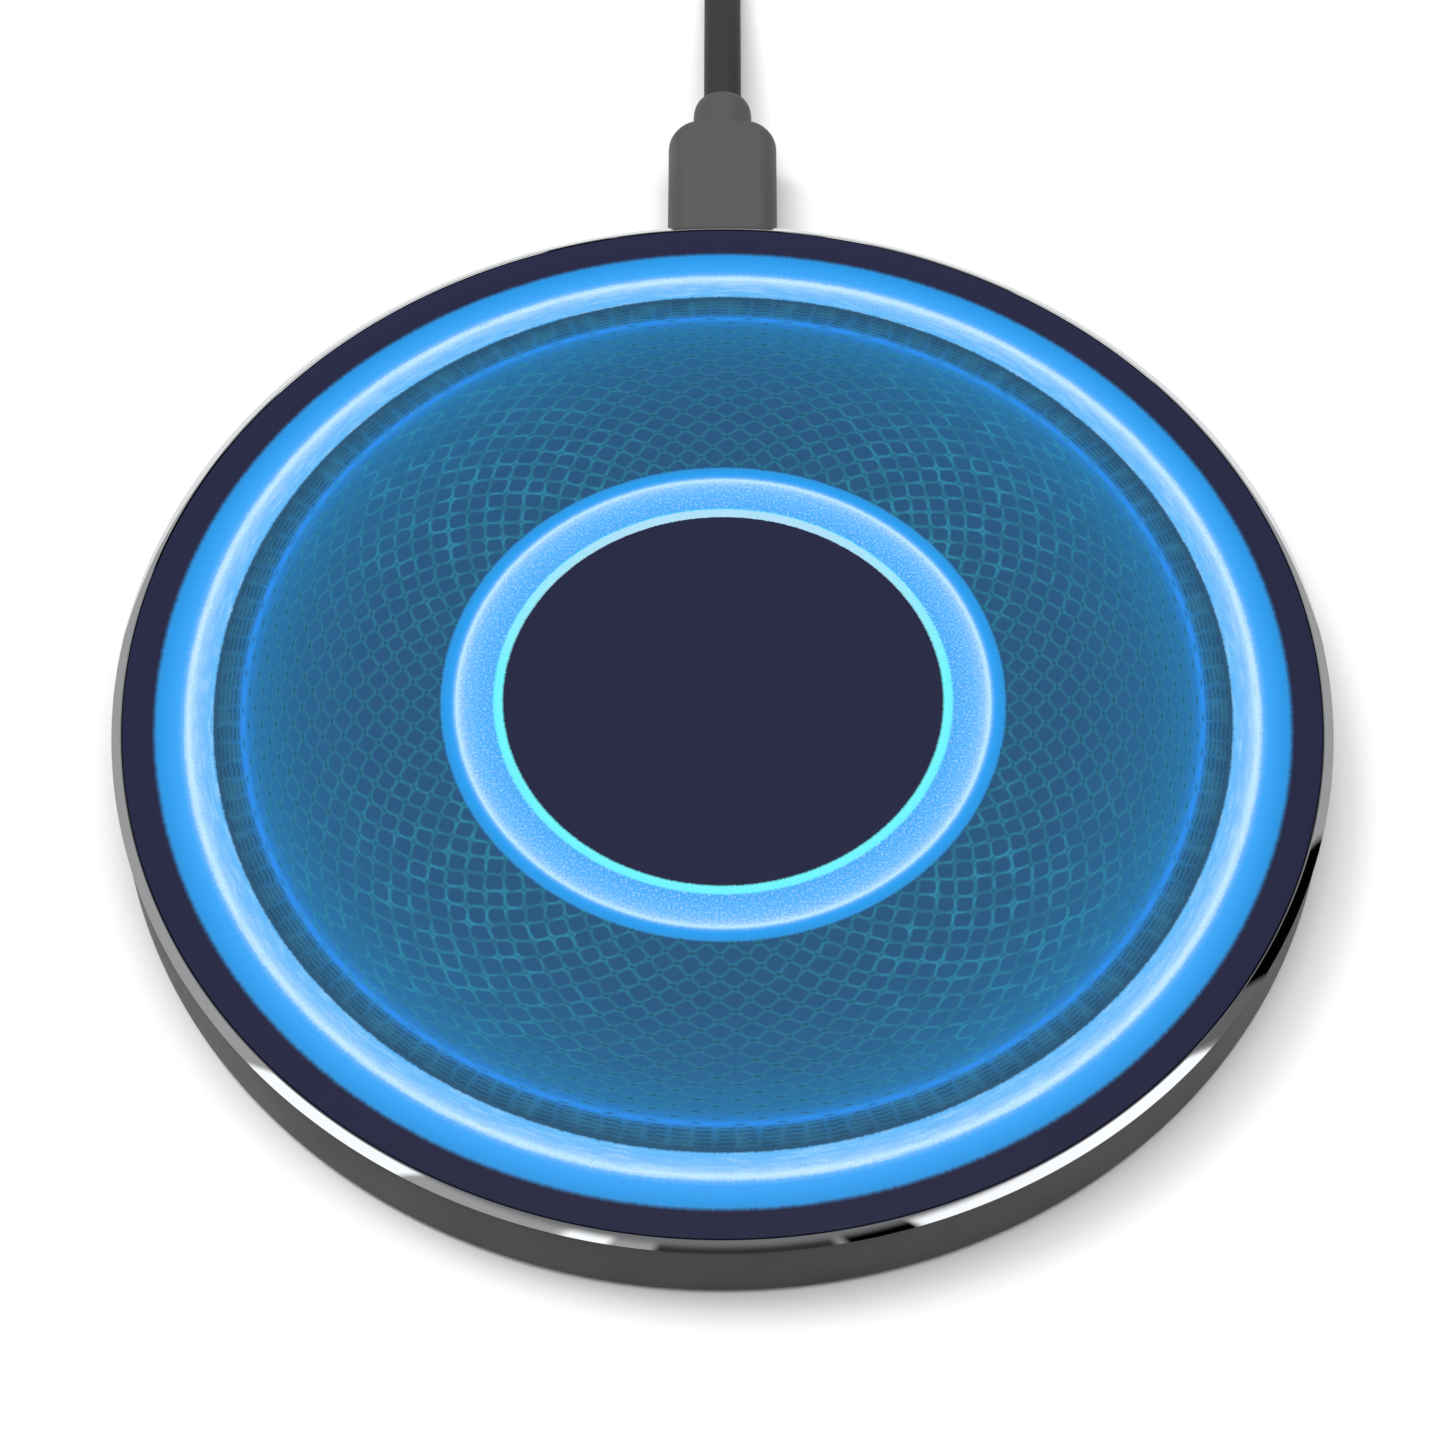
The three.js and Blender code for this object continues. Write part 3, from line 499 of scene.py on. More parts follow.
@dataclass(frozen=True)
class BareMetal(Finish):
    """Plated or stamped metal. Polishing marks drift its gloss, and stamping leaves fine lines."""

    colour: str
    roughness: float
    marks_mm: float = 0.5
    relief_mm: float = 0.002

    def sockets(self, tree: bpy.types.NodeTree) -> dict[str, Any]:
        """A metal whose roughness follows faint polishing marks."""
        place = self.millimetres(tree)
        fine = {"Vector": place, "Scale": 1 / self.marks_mm, "Detail": 4.0}
        marks = add_node(tree, "ShaderNodeTexNoise", fine)
        drift = {3: self.roughness * 0.8, 4: self.roughness * 1.25}
        dull, base = tinted(self.colour, 0.93), hex_colour(self.colour)
        return {
            **self.patterned(tree, marks, dull, base, 0.2, self.relief_mm),
            "Metallic": 1.0,
            "Roughness": add_node(tree, "ShaderNodeMapRange", {0: marks, **NOISE_SPAN, **drift}),
        }


@dataclass(frozen=True)
class ExtrudedJacket(Finish):
    """Cable jacket, PVC pressed through a round die, which leaves faint lines along it."""

    colour: str
    lines: float = 44.0
    roughness: float = 0.42

    def sockets(self, tree: bpy.types.NodeTree) -> dict[str, Any]:
        """Die lines round the cable and slow dull patches along it."""
        wrap = add_node(tree, "ShaderNodeUVMap", uv_map="wrap")
        lines = add_node(tree, "ShaderNodeMapping", {"Vector": wrap, "Scale": (self.lines, 30.0, 1.0)})
        die = add_node(tree, "ShaderNodeTexNoise", {"Vector": lines, "Scale": 1.0, "Detail": 2.0})
        drift = {3: self.roughness - 0.07, 4: self.roughness + 0.07}
        base, worn = hex_colour(self.colour), tinted(self.colour, 1.3)
        return {
            **self.patterned(tree, die, base, worn, 0.25, 0.01),
            "Roughness": add_node(tree, "ShaderNodeMapRange", {0: die, **NOISE_SPAN, **drift}),
            "Specular IOR Level": 0.1,
        }


@dataclass(frozen=True)
class WovenStrap(Finish):
    """Hook-and-loop tape, woven nylon with a brushed loop face that scatters light at its edges."""

    colour: str
    thread_mm: float = 0.35

    def sockets(self, tree: bpy.types.NodeTree) -> dict[str, Any]:
        """Crossed threads on the strap's own map, with loops standing out of them."""
        wrap = add_node(tree, "ShaderNodeUVMap", uv_map="wrap")
        turns = 1 / (self.thread_mm * MM)
        threads = add_node(tree, "ShaderNodeMapping", {"Vector": wrap, "Scale": (turns, turns, 1.0)})
        checks = add_node(tree, "ShaderNodeTexChecker", {"Vector": threads, "Scale": 1.0})
        weave = checks.node.outputs["Fac"]
        loops = add_node(tree, "ShaderNodeTexNoise", {"Vector": threads, "Scale": 1.4, "Detail": 3.0})
        height = add_node(tree, "ShaderNodeMath", {0: weave, 1: 0.4, 2: loops}, operation="MULTIPLY_ADD")
        base, pale = hex_colour(self.colour), tinted(self.colour, 2.0)
        return {
            **self.patterned(tree, height, base, pale, 0.8, 0.12),
            "Roughness": 0.92,
            "Sheen Weight": 0.35,
            "Sheen Roughness": 0.5,
        }


@dataclass(frozen=True)
class SolderMask(Finish):
    """Glass-epoxy board under solder mask. Raised copper tracks show as paler green lines."""

    colour: str = "14482c"
    track: str = "2f7d4f"

    def sockets(self, tree: bpy.types.NodeTree) -> dict[str, Any]:
        """Tracks in staggered rows, 1.2 mm by 0.6 mm, that stand out of the board a little."""
        bare, copper = (0.0, 0.0, 0.0, 1.0), (1.0, 1.0, 1.0, 1.0)
        rows = {
            "Vector": self.millimetres(tree),
            "Scale": 0.42,
            "Mortar Size": 0.07,
            "Color1": bare,
            "Color2": bare,
            "Mortar": copper,
        }
        tracks = add_node(tree, "ShaderNodeTexBrick", rows, offset=0.37).node.outputs["Color"]
        base, track = hex_colour(self.colour), hex_colour(self.track)
        return {**self.patterned(tree, tracks, base, track, 0.5, 0.035), "Roughness": 0.32}


@dataclass(frozen=True)
class WoundWire(Finish):
    """Enamelled copper wire, whose colour is darker between the strands, where their relief is low."""

    colour: str
    strand_mm: float = 0.1

    def sockets(self, tree: bpy.types.NodeTree) -> dict[str, Any]:
        """Fine strands round the coil with varnish over them."""
        place = self.millimetres(tree)
        strands = add_node(
            tree,
            "ShaderNodeTexWave",
            {"Vector": place, "Scale": 0.3 / self.strand_mm, "Distortion": 1.5},
            wave_type="RINGS",
            rings_direction="Z",
        ).node.outputs["Fac"]
        # The colour is darker between the strands, in step with their relief.
        between_strands, base = tinted(self.colour, 0.6), hex_colour(self.colour)
        return {
            **self.patterned(tree, strands, between_strands, base, 0.4, 0.04),
            "Metallic": 0.85,
            "Roughness": 0.3,
            "Coat Weight": 0.5,
        }


@dataclass(frozen=True)
class ClearResin(Finish):
    """Clear moulded resin with a faint haze that spreads the lamp's light."""

    colour: str

    def sockets(self, tree: bpy.types.NodeTree) -> dict[str, Any]:
        """A mostly clear body whose haze drifts through it."""
        cloud = {"Vector": self.millimetres(tree), "Scale": 2.0, "Detail": 2.0}
        haze = add_node(tree, "ShaderNodeTexNoise", cloud)
        colours = {0: haze, 6: tinted(self.colour, 0.85), 7: hex_colour(self.colour)}
        mixed = add_node(tree, "ShaderNodeMix", colours, data_type="RGBA")
        return {
            "Base Color": mixed.node.outputs[2],
            "Roughness": add_node(tree, "ShaderNodeMapRange", {0: haze, **NOISE_SPAN, 3: 0.12, 4: 0.28}),
            "Transmission Weight": 0.6,
        }


@dataclass(frozen=True)
class PrintedAcrylic(Finish):
    """Satin acrylic sheet, screen printed with two glowing rings and a net between them.

    The print is a little streaky and out of register. The satin face keeps reflections faint.
    """

    disc: float = 18.0
    rim: float = 18.78
    grain_edge: float = 21.75
    inner_edge: float = 23.13
    net_edge: float = 39.6
    dash_start: float = 39.55
    dash_end: float = 41.35
    outer_edge: float = 41.66
    bright_edge: float = 44.1
    glow_edge: float = 46.47
    print_reach: float = 50.0
    dome: float = 41.75
    cells_round: int = 72
    row_deg: float = 1.81
    register_mm: tuple[float, float] = (0.05, -0.15)
    ragged_mm: float = 0.045

    def rings(self, tree: bpy.types.NodeTree, radius: Any) -> Any:
        """The colour at each radius: disc, inner ring, net's ground, line and outer ring.

        Args:
            tree: The material's tree.
            radius: The distance from the rings' own middle, in millimetres.

        Returns:
            The colour's socket.
        """
        stops_mm = [
            (self.disc - 0.03, "232440"),
            (self.disc + 0.03, "6eeaf1"),
            (self.rim - 0.03, "66e6f1"),
            (self.rim + 0.03, "3da0ea"),
            (20.3, "52acf2"),
            (21.1, "6cb5f2"),
            (21.55, "92c4f1"),
            (21.72, "b0dcfa"),
            (21.88, "b0dcfa"),
            (22.12, "3c9cec"),
            (22.5, "1f96e5"),
            (self.inner_edge - 0.05, "278dd4"),
            (self.inner_edge + 0.05, "215178"),
            (29.0, "21517a"),
            (35.0, "205e89"),
            (38.1, "206c9f"),
            (38.85, "2176bd"),
            (39.25, "2688e7"),
            (39.5, "2578c6"),
            (39.75, "22699b"),
            (40.5, "25628c"),
            (self.outer_edge - 0.05, "244f6e"),
            (self.outer_edge + 0.05, "5fb3ef"),
            (42.7, "72b6f0"),
            (43.3, "94c7f1"),
            (43.6, "bae0fa"),
            (43.86, "bae0fa"),
            (44.1, "68b0f2"),
            (44.5, "3aa0ee"),
            (45.9, "2692de"),
            (self.glow_edge - 0.05, "2a8ace"),
            (self.glow_edge + 0.05, "232440"),
        ]
        share = add_node(tree, "ShaderNodeMath", {0: radius, 1: self.print_reach}, operation="DIVIDE")
        stops = [(place / self.print_reach, code) for place, code in stops_mm]
        return add_node(tree, "ShaderNodeValToRGB", {0: share}, stops=stops)

    def ragged(self, tree: bpy.types.NodeTree, way: Any, radius: Any) -> Any:
        """The distance from the print's middle, made a little uneven so that its edges are too.

        Args:
            tree: The material's tree.
            way: The direction from the print's middle.
            radius: The distance from it.

        Returns:
            The uneven distance's socket.
        """
        add = partial(add_node, tree)
        jagged = add("ShaderNodeTexNoise", {"Vector": way, "Scale": 160.0, "Detail": 2.0})
        off = add("ShaderNodeMapRange", {0: jagged, **NOISE_SPAN, 3: -self.ragged_mm, 4: self.ragged_mm})
        return add("ShaderNodeMath", {0: radius, 1: off}, operation="ADD")

    def lattice(self, tree: bpy.types.NodeTree, place: Any, radius: Any) -> tuple[Any, Any, Any]:
        """The net's own grid: steps round the panel, and rows down the side of a dome.

        Args:
            tree: The material's tree.
            place: The place on the panel, in millimetres.
            radius: Its distance from the middle.

        Returns:
            The grid's two slanting counts, the steps round, and the angle round.
        """
        add = partial(add_node, tree)
        parts = add("ShaderNodeSeparateXYZ", {0: place}).node.outputs
        angle = add("ShaderNodeMath", {0: parts["Y"], 1: parts["X"]}, operation="ARCTAN2")
        around = add("ShaderNodeMath", {0: angle, 1: self.cells_round / math.pi}, operation="MULTIPLY")
        share = add("ShaderNodeMath", {0: radius, 1: self.dome}, operation="DIVIDE")
        capped = add("ShaderNodeMath", {0: share, 1: 0.9999}, operation="MINIMUM")
        tilt = add("ShaderNodeMath", {0: capped}, operation="ARCSINE")
        row = add("ShaderNodeMath", {0: tilt, 1: math.radians(self.row_deg)}, operation="DIVIDE")
        steps = add("ShaderNodeCombineXYZ", {0: around, 1: row})
        uneven = add("ShaderNodeTexNoise", {"Vector": place, "Scale": 0.4, "Detail": 2.0}).node.outputs[1]
        nudged = add(
            "ShaderNodeVectorMath", {0: uneven, 1: (0.55, 0.55, 0.0), 2: steps}, operation="MULTIPLY_ADD"
        )
        first = add(
            "ShaderNodeVectorMath", {0: nudged, 1: (0.5, 0.5, 0.0)}, operation="DOT_PRODUCT"
        ).node.outputs["Value"]
        second = add(
            "ShaderNodeVectorMath", {0: nudged, 1: (0.5, -0.5, 0.0)}, operation="DOT_PRODUCT"
        ).node.outputs["Value"]
        return add("ShaderNodeCombineXYZ", {0: first, 1: second}), around, angle

    def outlines(self, tree: bpy.types.NodeTree, grid: Any) -> Any:
        """How strongly the rounded outline of a cell shows.

        Args:
            tree: The material's tree.
            grid: The grid's two slanting counts.

        Returns:
            The strength's socket.
        """
        add = partial(add_node, tree)
        part = add("ShaderNodeVectorMath", {0: grid}, operation="FRACTION")
        centred = add(
            "ShaderNodeVectorMath",
            {0: part, 1: (2.0, 2.0, 0.0), 2: (-1.0, -1.0, 0.0)},
            operation="MULTIPLY_ADD",
        )
        squared = add("ShaderNodeVectorMath", {0: centred, 1: centred}, operation="MULTIPLY")
        fourth = add(
            "ShaderNodeVectorMath", {0: squared, 1: squared}, operation="DOT_PRODUCT"
        ).node.outputs["Value"]
        return add("ShaderNodeMapRange", {0: fourth, 1: 0.25, 2: 0.8}, interpolation_type="SMOOTHSTEP")

    def knots(self, tree: bpy.types.NodeTree, grid: Any) -> Any:
        """How strongly a knot shows where four cells meet, drawn wider than it is high.

        Args:
            tree: The material's tree.
            grid: The grid's two slanting counts.

        Returns:
            The strength's socket.
        """
        add = partial(add_node, tree)
        half = add("ShaderNodeVectorMath", {0: grid, 1: (0.5, 0.5, 0.0)}, operation="ADD")
        part = add("ShaderNodeVectorMath", {0: half}, operation="FRACTION")
        off = add("ShaderNodeVectorMath", {0: part, 1: (0.5, 0.5, 0.0)}, operation="SUBTRACT")
        across = add(
            "ShaderNodeVectorMath", {0: off, 1: (1.0, 1.0, 0.0)}, operation="DOT_PRODUCT"
        ).node.outputs["Value"]
        along = add(
            "ShaderNodeVectorMath", {0: off, 1: (1.8, -1.8, 0.0)}, operation="DOT_PRODUCT"
        ).node.outputs["Value"]
        apart = add("ShaderNodeCombineXYZ", {0: across, 1: along})
        distance = add("ShaderNodeVectorMath", {0: apart}, operation="LENGTH").node.outputs["Value"]
        return add(
            "ShaderNodeMapRange",
            {0: distance, 1: 0.13, 2: 0.3, 3: 1.0, 4: 0.0},
            interpolation_type="SMOOTHSTEP",
        )

    def dashes(self, tree: bpy.types.NodeTree, place: Any, radius: Any, around: Any) -> Any:
        """How strongly the jostled stacks of short dashes outside the net show.

        Args:
            tree: The material's tree.
            place: The place on the panel, in millimetres.
            radius: Its distance from the middle.
            around: The steps round the panel.

        Returns:
            The strength's socket.
        """
        add = partial(add_node, tree)
        rows = add("ShaderNodeMath", {0: radius, 1: 0.7}, operation="DIVIDE")
        stacks = add("ShaderNodeCombineXYZ", {0: around, 1: rows})
        jostle = add("ShaderNodeTexNoise", {"Vector": place, "Scale": 0.9, "Detail": 2.0}).node.outputs[1]
        uneven_stacks = add(
            "ShaderNodeVectorMath", {0: jostle, 1: (0.8, 0.5, 0.0), 2: stacks}, operation="MULTIPLY_ADD"
        )
        gaps = add(
            "ShaderNodeTexBrick",
            {
                "Vector": uneven_stacks,
                "Scale": 1.0,
                "Brick Width": 1.0,
                "Row Height": 0.5,
                "Mortar Size": 0.14,
                "Mortar Smooth": 0.5,
            },
            offset=0.0,
        ).node.outputs["Fac"]
        return add("ShaderNodeMapRange", {0: gaps, 1: 0.6, 2: 0.0, 4: 0.5})

    def streaks(self, tree: bpy.types.NodeTree, way: Any, radius: Any) -> Any:
        """The print's streaks, which run round the rings, about eight times as long as wide.

        Args:
            tree: The material's tree.
            way: The direction from the print's middle.
            radius: The distance from it, in millimetres.

        Returns:
            The streaks' socket, from 0 to 1.
        """
        add = partial(add_node, tree)
        ribbon = add("ShaderNodeVectorMath", {0: way, "Scale": 13.0}, operation="SCALE")
        tall = add("ShaderNodeMath", {0: radius, 1: 2.6}, operation="MULTIPLY")
        lift = add("ShaderNodeCombineXYZ", {2: tall})
        swept = add("ShaderNodeVectorMath", {0: ribbon, 1: lift}, operation="ADD")
        return add("ShaderNodeTexNoise", {"Vector": swept, "Scale": 1.6, "Detail": 4.0})

    def sockets(self, tree: bpy.types.NodeTree) -> dict[str, Any]:
        """The rings, then the net, the dashes, the streaks and the grain laid over them."""
        add = partial(add_node, tree)
        place = add(
            "ShaderNodeVectorMath",
            {0: self.millimetres(tree, flat=True), 1: (*self.register_mm, 0.0)},
            operation="SUBTRACT",
        )
        radius = add("ShaderNodeVectorMath", {0: place}, operation="LENGTH").node.outputs["Value"]
        way = add("ShaderNodeVectorMath", {0: place}, operation="NORMALIZE")
        own = self.ragged(tree, way, radius)
        grid, around, angle = self.lattice(tree, place, own)
        bands = {
            "rim": (self.disc, self.rim),
            "grain": (self.rim, self.grain_edge),
            "net": (self.inner_edge, self.net_edge),
            "dashes": (self.dash_start, self.dash_end),
            "glow": (self.outer_edge, self.glow_edge),
            "bright": (self.outer_edge, self.bright_edge),
        }
        inside = {
            name: add(
                "ShaderNodeMath", {0: own, 1: (low + high) / 2, 2: (high - low) / 2}, operation="COMPARE"
            )
            for name, (low, high) in bands.items()
        }
        # Four times round, the net is bolder and its knots are fainter.
        four = add("ShaderNodeMath", {0: angle, 1: 4.0}, operation="MULTIPLY")
        wave = add("ShaderNodeMath", {0: four}, operation="COSINE")
        slant = add("ShaderNodeMapRange", {0: wave, 1: 1.0, 2: -1.0})
        straight = add("ShaderNodeMapRange", {0: wave, 1: -1.0, 2: 0.6, 3: 0.45})
        patchy = add("ShaderNodeTexNoise", {"Vector": place, "Scale": 0.5, "Detail": 3.0})
        bold = add("ShaderNodeMapRange", {0: patchy, 1: 0.44, 2: 0.62})
        fades = add("ShaderNodeMapRange", {0: own, 1: 28.0, 2: 38.5, 3: 1.0, 4: 0.7})
        net = [self.outlines(tree, grid), inside["net"], fades]
        dash = self.dashes(tree, place, own, around)
        streaks = self.streaks(tree, way, own)
        pale_streak = add("ShaderNodeMapRange", {0: streaks, 1: 0.5, 2: 0.75, 4: 0.35})
        deep_streak = add("ShaderNodeMapRange", {0: streaks, 1: 0.48, 2: 0.28, 4: 0.2})
        grain = add("ShaderNodeTexNoise", {"Vector": place, "Scale": 5.0, "Detail": 3.0})
        pale_grain = add("ShaderNodeMapRange", {0: grain, 1: 0.5, 2: 0.72, 4: 0.6})
        deep_grain = add("ShaderNodeMapRange", {0: grain, 1: 0.5, 2: 0.3, 4: 0.55})
        rear = add(
            "ShaderNodeVectorMath", {0: way, 1: (0.0, 1.0, 0.0)}, operation="DOT_PRODUCT"
        ).node.outputs["Value"]
        back = add("ShaderNodeMapRange", {0: rear, 1: 0.1, 2: 0.9, 4: 0.95})
        layers = [
            ("2a8298", [*net, 0.38]),
            ("2e96b4", [*net, slant, bold, 0.5]),
            ("123f52", [self.knots(tree, grid), inside["net"], straight, 0.6]),
            ("163c50", [dash, inside["dashes"]]),
            ("3f8fa4", [bold, inside["dashes"], 0.14]),
            ("c4e4fa", [pale_streak, inside["bright"]]),
            ("2a96ea", [deep_streak, inside["glow"]]),
            ("1f86d6", [deep_grain, inside["glow"], 0.4]),
            ("b8dcfa", [pale_grain, inside["grain"]]),
            ("3a9eee", [deep_grain, inside["grain"]]),
            ("a8d4ec", [back, inside["rim"]]),
        ]
        colour = self.rings(tree, own)
        for code, (strength, *factors) in layers:
            for factor in factors:
                strength = add("ShaderNodeMath", {0: strength, 1: factor}, operation="MULTIPLY")
            colour = add(
                "ShaderNodeMix", {0: strength, 6: colour, 7: hex_colour(code)}, data_type="RGBA"
            ).node.outputs[2]
        satin = add("ShaderNodeMapRange", {0: patchy, **NOISE_SPAN, 3: 0.34, 4: 0.44})
        bump = add("ShaderNodeBump", {"Height": grain, "Strength": 0.1, "Distance": 0.004 * MM})
        return {
            "Base Color": colour,
            "Roughness": satin,
            "Normal": bump,
            "Specular IOR Level": 0.12,
        }


PRINTED_PANEL = PrintedAcrylic("acrylic_screen_printed")
CHROME = BareMetal("abs_chrome_plated_polished", "d2d4d6", 0.02, 6.0, 0.0002)
BASE_PLASTIC = MouldedPlastic("abs_black_spark_eroded", "484848", 0.5, specular=0.3)
INNER_PLASTIC = MouldedPlastic("abs_grey_moulded", "3a3a3c", 0.6)
SILICONE = MouldedPlastic("silicone_black_moulded", "1c1c1e", 0.8, 0.2, 0.01)
PLUG_PLASTIC = MouldedPlastic("pvc_overmould_matt", "545454", 0.55, specular=0.3)
JACKET = ExtrudedJacket("pvc_jacket_extruded", "363636", roughness=0.55)
STRAP = WovenStrap("nylon_hook_and_loop_woven", "1f1f22")
TAPE = MouldedPlastic("acrylic_foam_tape_rolled", "d9d4c4", 0.75, 0.5, 0.02)
FERRITE = MouldedPlastic("ferrite_sheet_sintered", "3b3a3d", 0.7, 0.25, 0.02)
WIRE = WoundWire("copper_wire_enamelled", "b0602e")
LEAD_COPPER = WoundWire("copper_lead_tinned", "c07a45", 0.2)
BOARD = SolderMask("glass_epoxy_solder_masked")
TIN = BareMetal("steel_stamped_tin_plated", "b9bcc0", 0.24)
STEEL = BareMetal("steel_cold_headed_screw", "8b8e92", 0.34, 0.3)
CHIP = MouldedPlastic("epoxy_transfer_moulded_chip", "18181a", 0.55, 0.15)
CERAMIC = MouldedPlastic("ceramic_fired_capacitor", "9b7a55", 0.5, 0.1)
CLEAR = ClearResin("resin_clear_moulded", "dfe6ea")
BLACK_NYLON = MouldedPlastic("nylon_black_moulded", "1a1a1c", 0.5)
WHITE_NYLON = MouldedPlastic("nylon_white_moulded", "e8e8e4", 0.45)
GOLD = BareMetal("bronze_gold_plated_contact", "d6a94a", 0.22, 0.4)


# ------------------------------------------------------------------ studio


class Shade(Enum):
    """How light a card beside the table is."""

    WHITE_BOX = "fafafa"
    BLACK_CARD = "020202"
    GREY_CARD = "606060"
    CAMERA_STAND = "303030"


@dataclass(frozen=True)
class Card:
    """A soft box or a dark card that stands beside the table, seen only in reflections.

    Its two edges are angles round the pad: 0 is the front, 90 the right and -90 the left.
    """

    start: float
    end: float
    shade: Shade


@dataclass
class Studio:
    """A white table under soft light, with the camera above its front edge."""

    eye: tuple[float, float, float] = (0.0, -0.1811, 0.2851)
    pitch_deg: float = 57.235
    lens: float = 100.62
    floor_side: float = 12.0
    key_tilt_deg: float = 33.0
    key_turn_deg: float = 62.0
    key_strength: float = 0.95
    key_spread_deg: float = 26.0
    ambient: float = 4.05
    ambient_focus: float = 7.0
    gloss: float = 1.6
    walls: str = "989898"
    ceiling: str = "6e6e6e"
    ceiling_start: float = 0.66
    ceiling_full: float = 0.76
    card_edge_deg: float = 0.4
    cards: tuple[Card, ...] = (
        Card(-75.0, -50.0, Shade.WHITE_BOX),
        Card(-25.0, -18.0, Shade.WHITE_BOX),
        Card(-10.0, 18.0, Shade.CAMERA_STAND),
        Card(19.0, 30.0, Shade.BLACK_CARD),
        Card(31.0, 78.0, Shade.WHITE_BOX),
        Card(79.0, 89.0, Shade.GREY_CARD),
        Card(90.0, 107.0, Shade.BLACK_CARD),
    )

    def build(self) -> None:
        """Makes the camera first, and then the table and its light."""
        self.camera()
        self.floor()
        self.key()
        self.surroundings()
        LOG.info("studio: camera, table, key light and surroundings")

    def camera(self) -> None:
        """The camera, pitched down at the pad."""
        data = bpy.data.cameras.new("camera")
        data.lens = self.lens
        data.sensor_width = 36.0
        data.clip_start = 0.01
        data.clip_end = 50.0
        camera = bpy.data.objects.new("camera", data)
        camera.location = self.eye
        camera.rotation_euler = (math.radians(90.0 - self.pitch_deg), 0.0, 0.0)
        bpy.context.scene.collection.objects.link(camera)
        bpy.context.scene.camera = camera

    def floor(self) -> None:
        """A white table top with the faint mottle of coated board."""
        half = self.floor_side / 2
        corners = [(-half, -half, 0), (half, -half, 0), (half, half, 0), (-half, half, 0)]
        mesh = bpy.data.meshes.new("table_top")
        mesh.from_pydata(corners, [], [(0, 1, 2, 3)])
        floor = bpy.data.objects.new("table_top", mesh)
        bpy.context.scene.collection.objects.link(floor)
        board = CoatedBoard("board_white_coated", "fcfcfc", 0.9, 0.5, 0.0005, 0.0, 0.01)
        floor.data.materials.append(board.material())

    def key(self) -> None:
        """One broad soft light from the back left."""
        data = bpy.data.lights.new("key", "SUN")
        data.energy = self.key_strength
        data.angle = math.radians(self.key_spread_deg)
        lamp = bpy.data.objects.new("key", data)
        turn = math.radians(self.key_turn_deg) + math.pi
        lamp.rotation_euler = (math.radians(self.key_tilt_deg), 0.0, turn)
        lamp.visible_glossy = False
        bpy.context.scene.collection.objects.link(lamp)

    def surroundings(self) -> None:
        """A grey room with soft boxes and dark cards beside the table, and soft light above."""
        world = bpy.data.worlds.new("surroundings")
        bpy.context.scene.world = world
        world.use_nodes = True
        tree = world.node_tree
        tree.nodes.clear()
        add = partial(add_node, tree)
        way = add("ShaderNodeTexCoord").node.outputs["Generated"]
        parts = add("ShaderNodeSeparateXYZ", {0: way}).node.outputs
        front = add("ShaderNodeMath", {0: parts["Y"], 1: -1.0}, operation="MULTIPLY")
        round_angle = add("ShaderNodeMath", {0: parts["X"], 1: front}, operation="ARCTAN2")
        share = add("ShaderNodeMapRange", {0: round_angle, 1: -math.pi, 2: math.pi})
        edges = [(-180.0, self.walls)]
        for card in self.cards:
            edges += [
                (card.start - self.card_edge_deg, self.walls),
                (card.start, card.shade.value),
                (card.end, card.shade.value),
                (card.end + self.card_edge_deg, self.walls),
            ]
        edges.append((180.0, self.walls))
        stops = [((angle + 180) / 360, code) for angle, code in edges]
        low = add("ShaderNodeValToRGB", {0: share}, stops=stops)
        band = {0: parts["Z"], 1: self.ceiling_start, 2: self.ceiling_full}
        raised = add("ShaderNodeMapRange", band, interpolation_type="SMOOTHSTEP")
        studio = add(
            "ShaderNodeMix", {0: raised, 6: low, 7: hex_colour(self.ceiling)}, data_type="RGBA"
        ).node.outputs[2]
        rays = add("ShaderNodeLightPath").node.outputs
        gloss = add("ShaderNodeBackground", {0: studio, 1: self.gloss})
        white = (1.0, 1.0, 1.0, 1.0)
        # The diffuse light comes mostly from above, as from a large soft box.
        upward = add("ShaderNodeMath", {0: parts["Z"], 1: 0.0}, operation="MAXIMUM")
        above = add("ShaderNodeMath", {0: upward, 1: self.ambient_focus}, operation="POWER")
        dome = add("ShaderNodeMath", {0: above, 1: self.ambient}, operation="MULTIPLY")
        ambient = add("ShaderNodeBackground", {0: white, 1: dome})
        backdrop = add("ShaderNodeBackground", {0: white, 1: 1.0})
        lit = add("ShaderNodeMixShader", {0: rays["Is Glossy Ray"], 1: ambient, 2: gloss})
        seen = add("ShaderNodeMixShader", {0: rays["Is Camera Ray"], 1: lit, 2: backdrop})
        add("ShaderNodeOutputWorld", {"Surface": seen})


# ------------------------------------------------------------------ cable


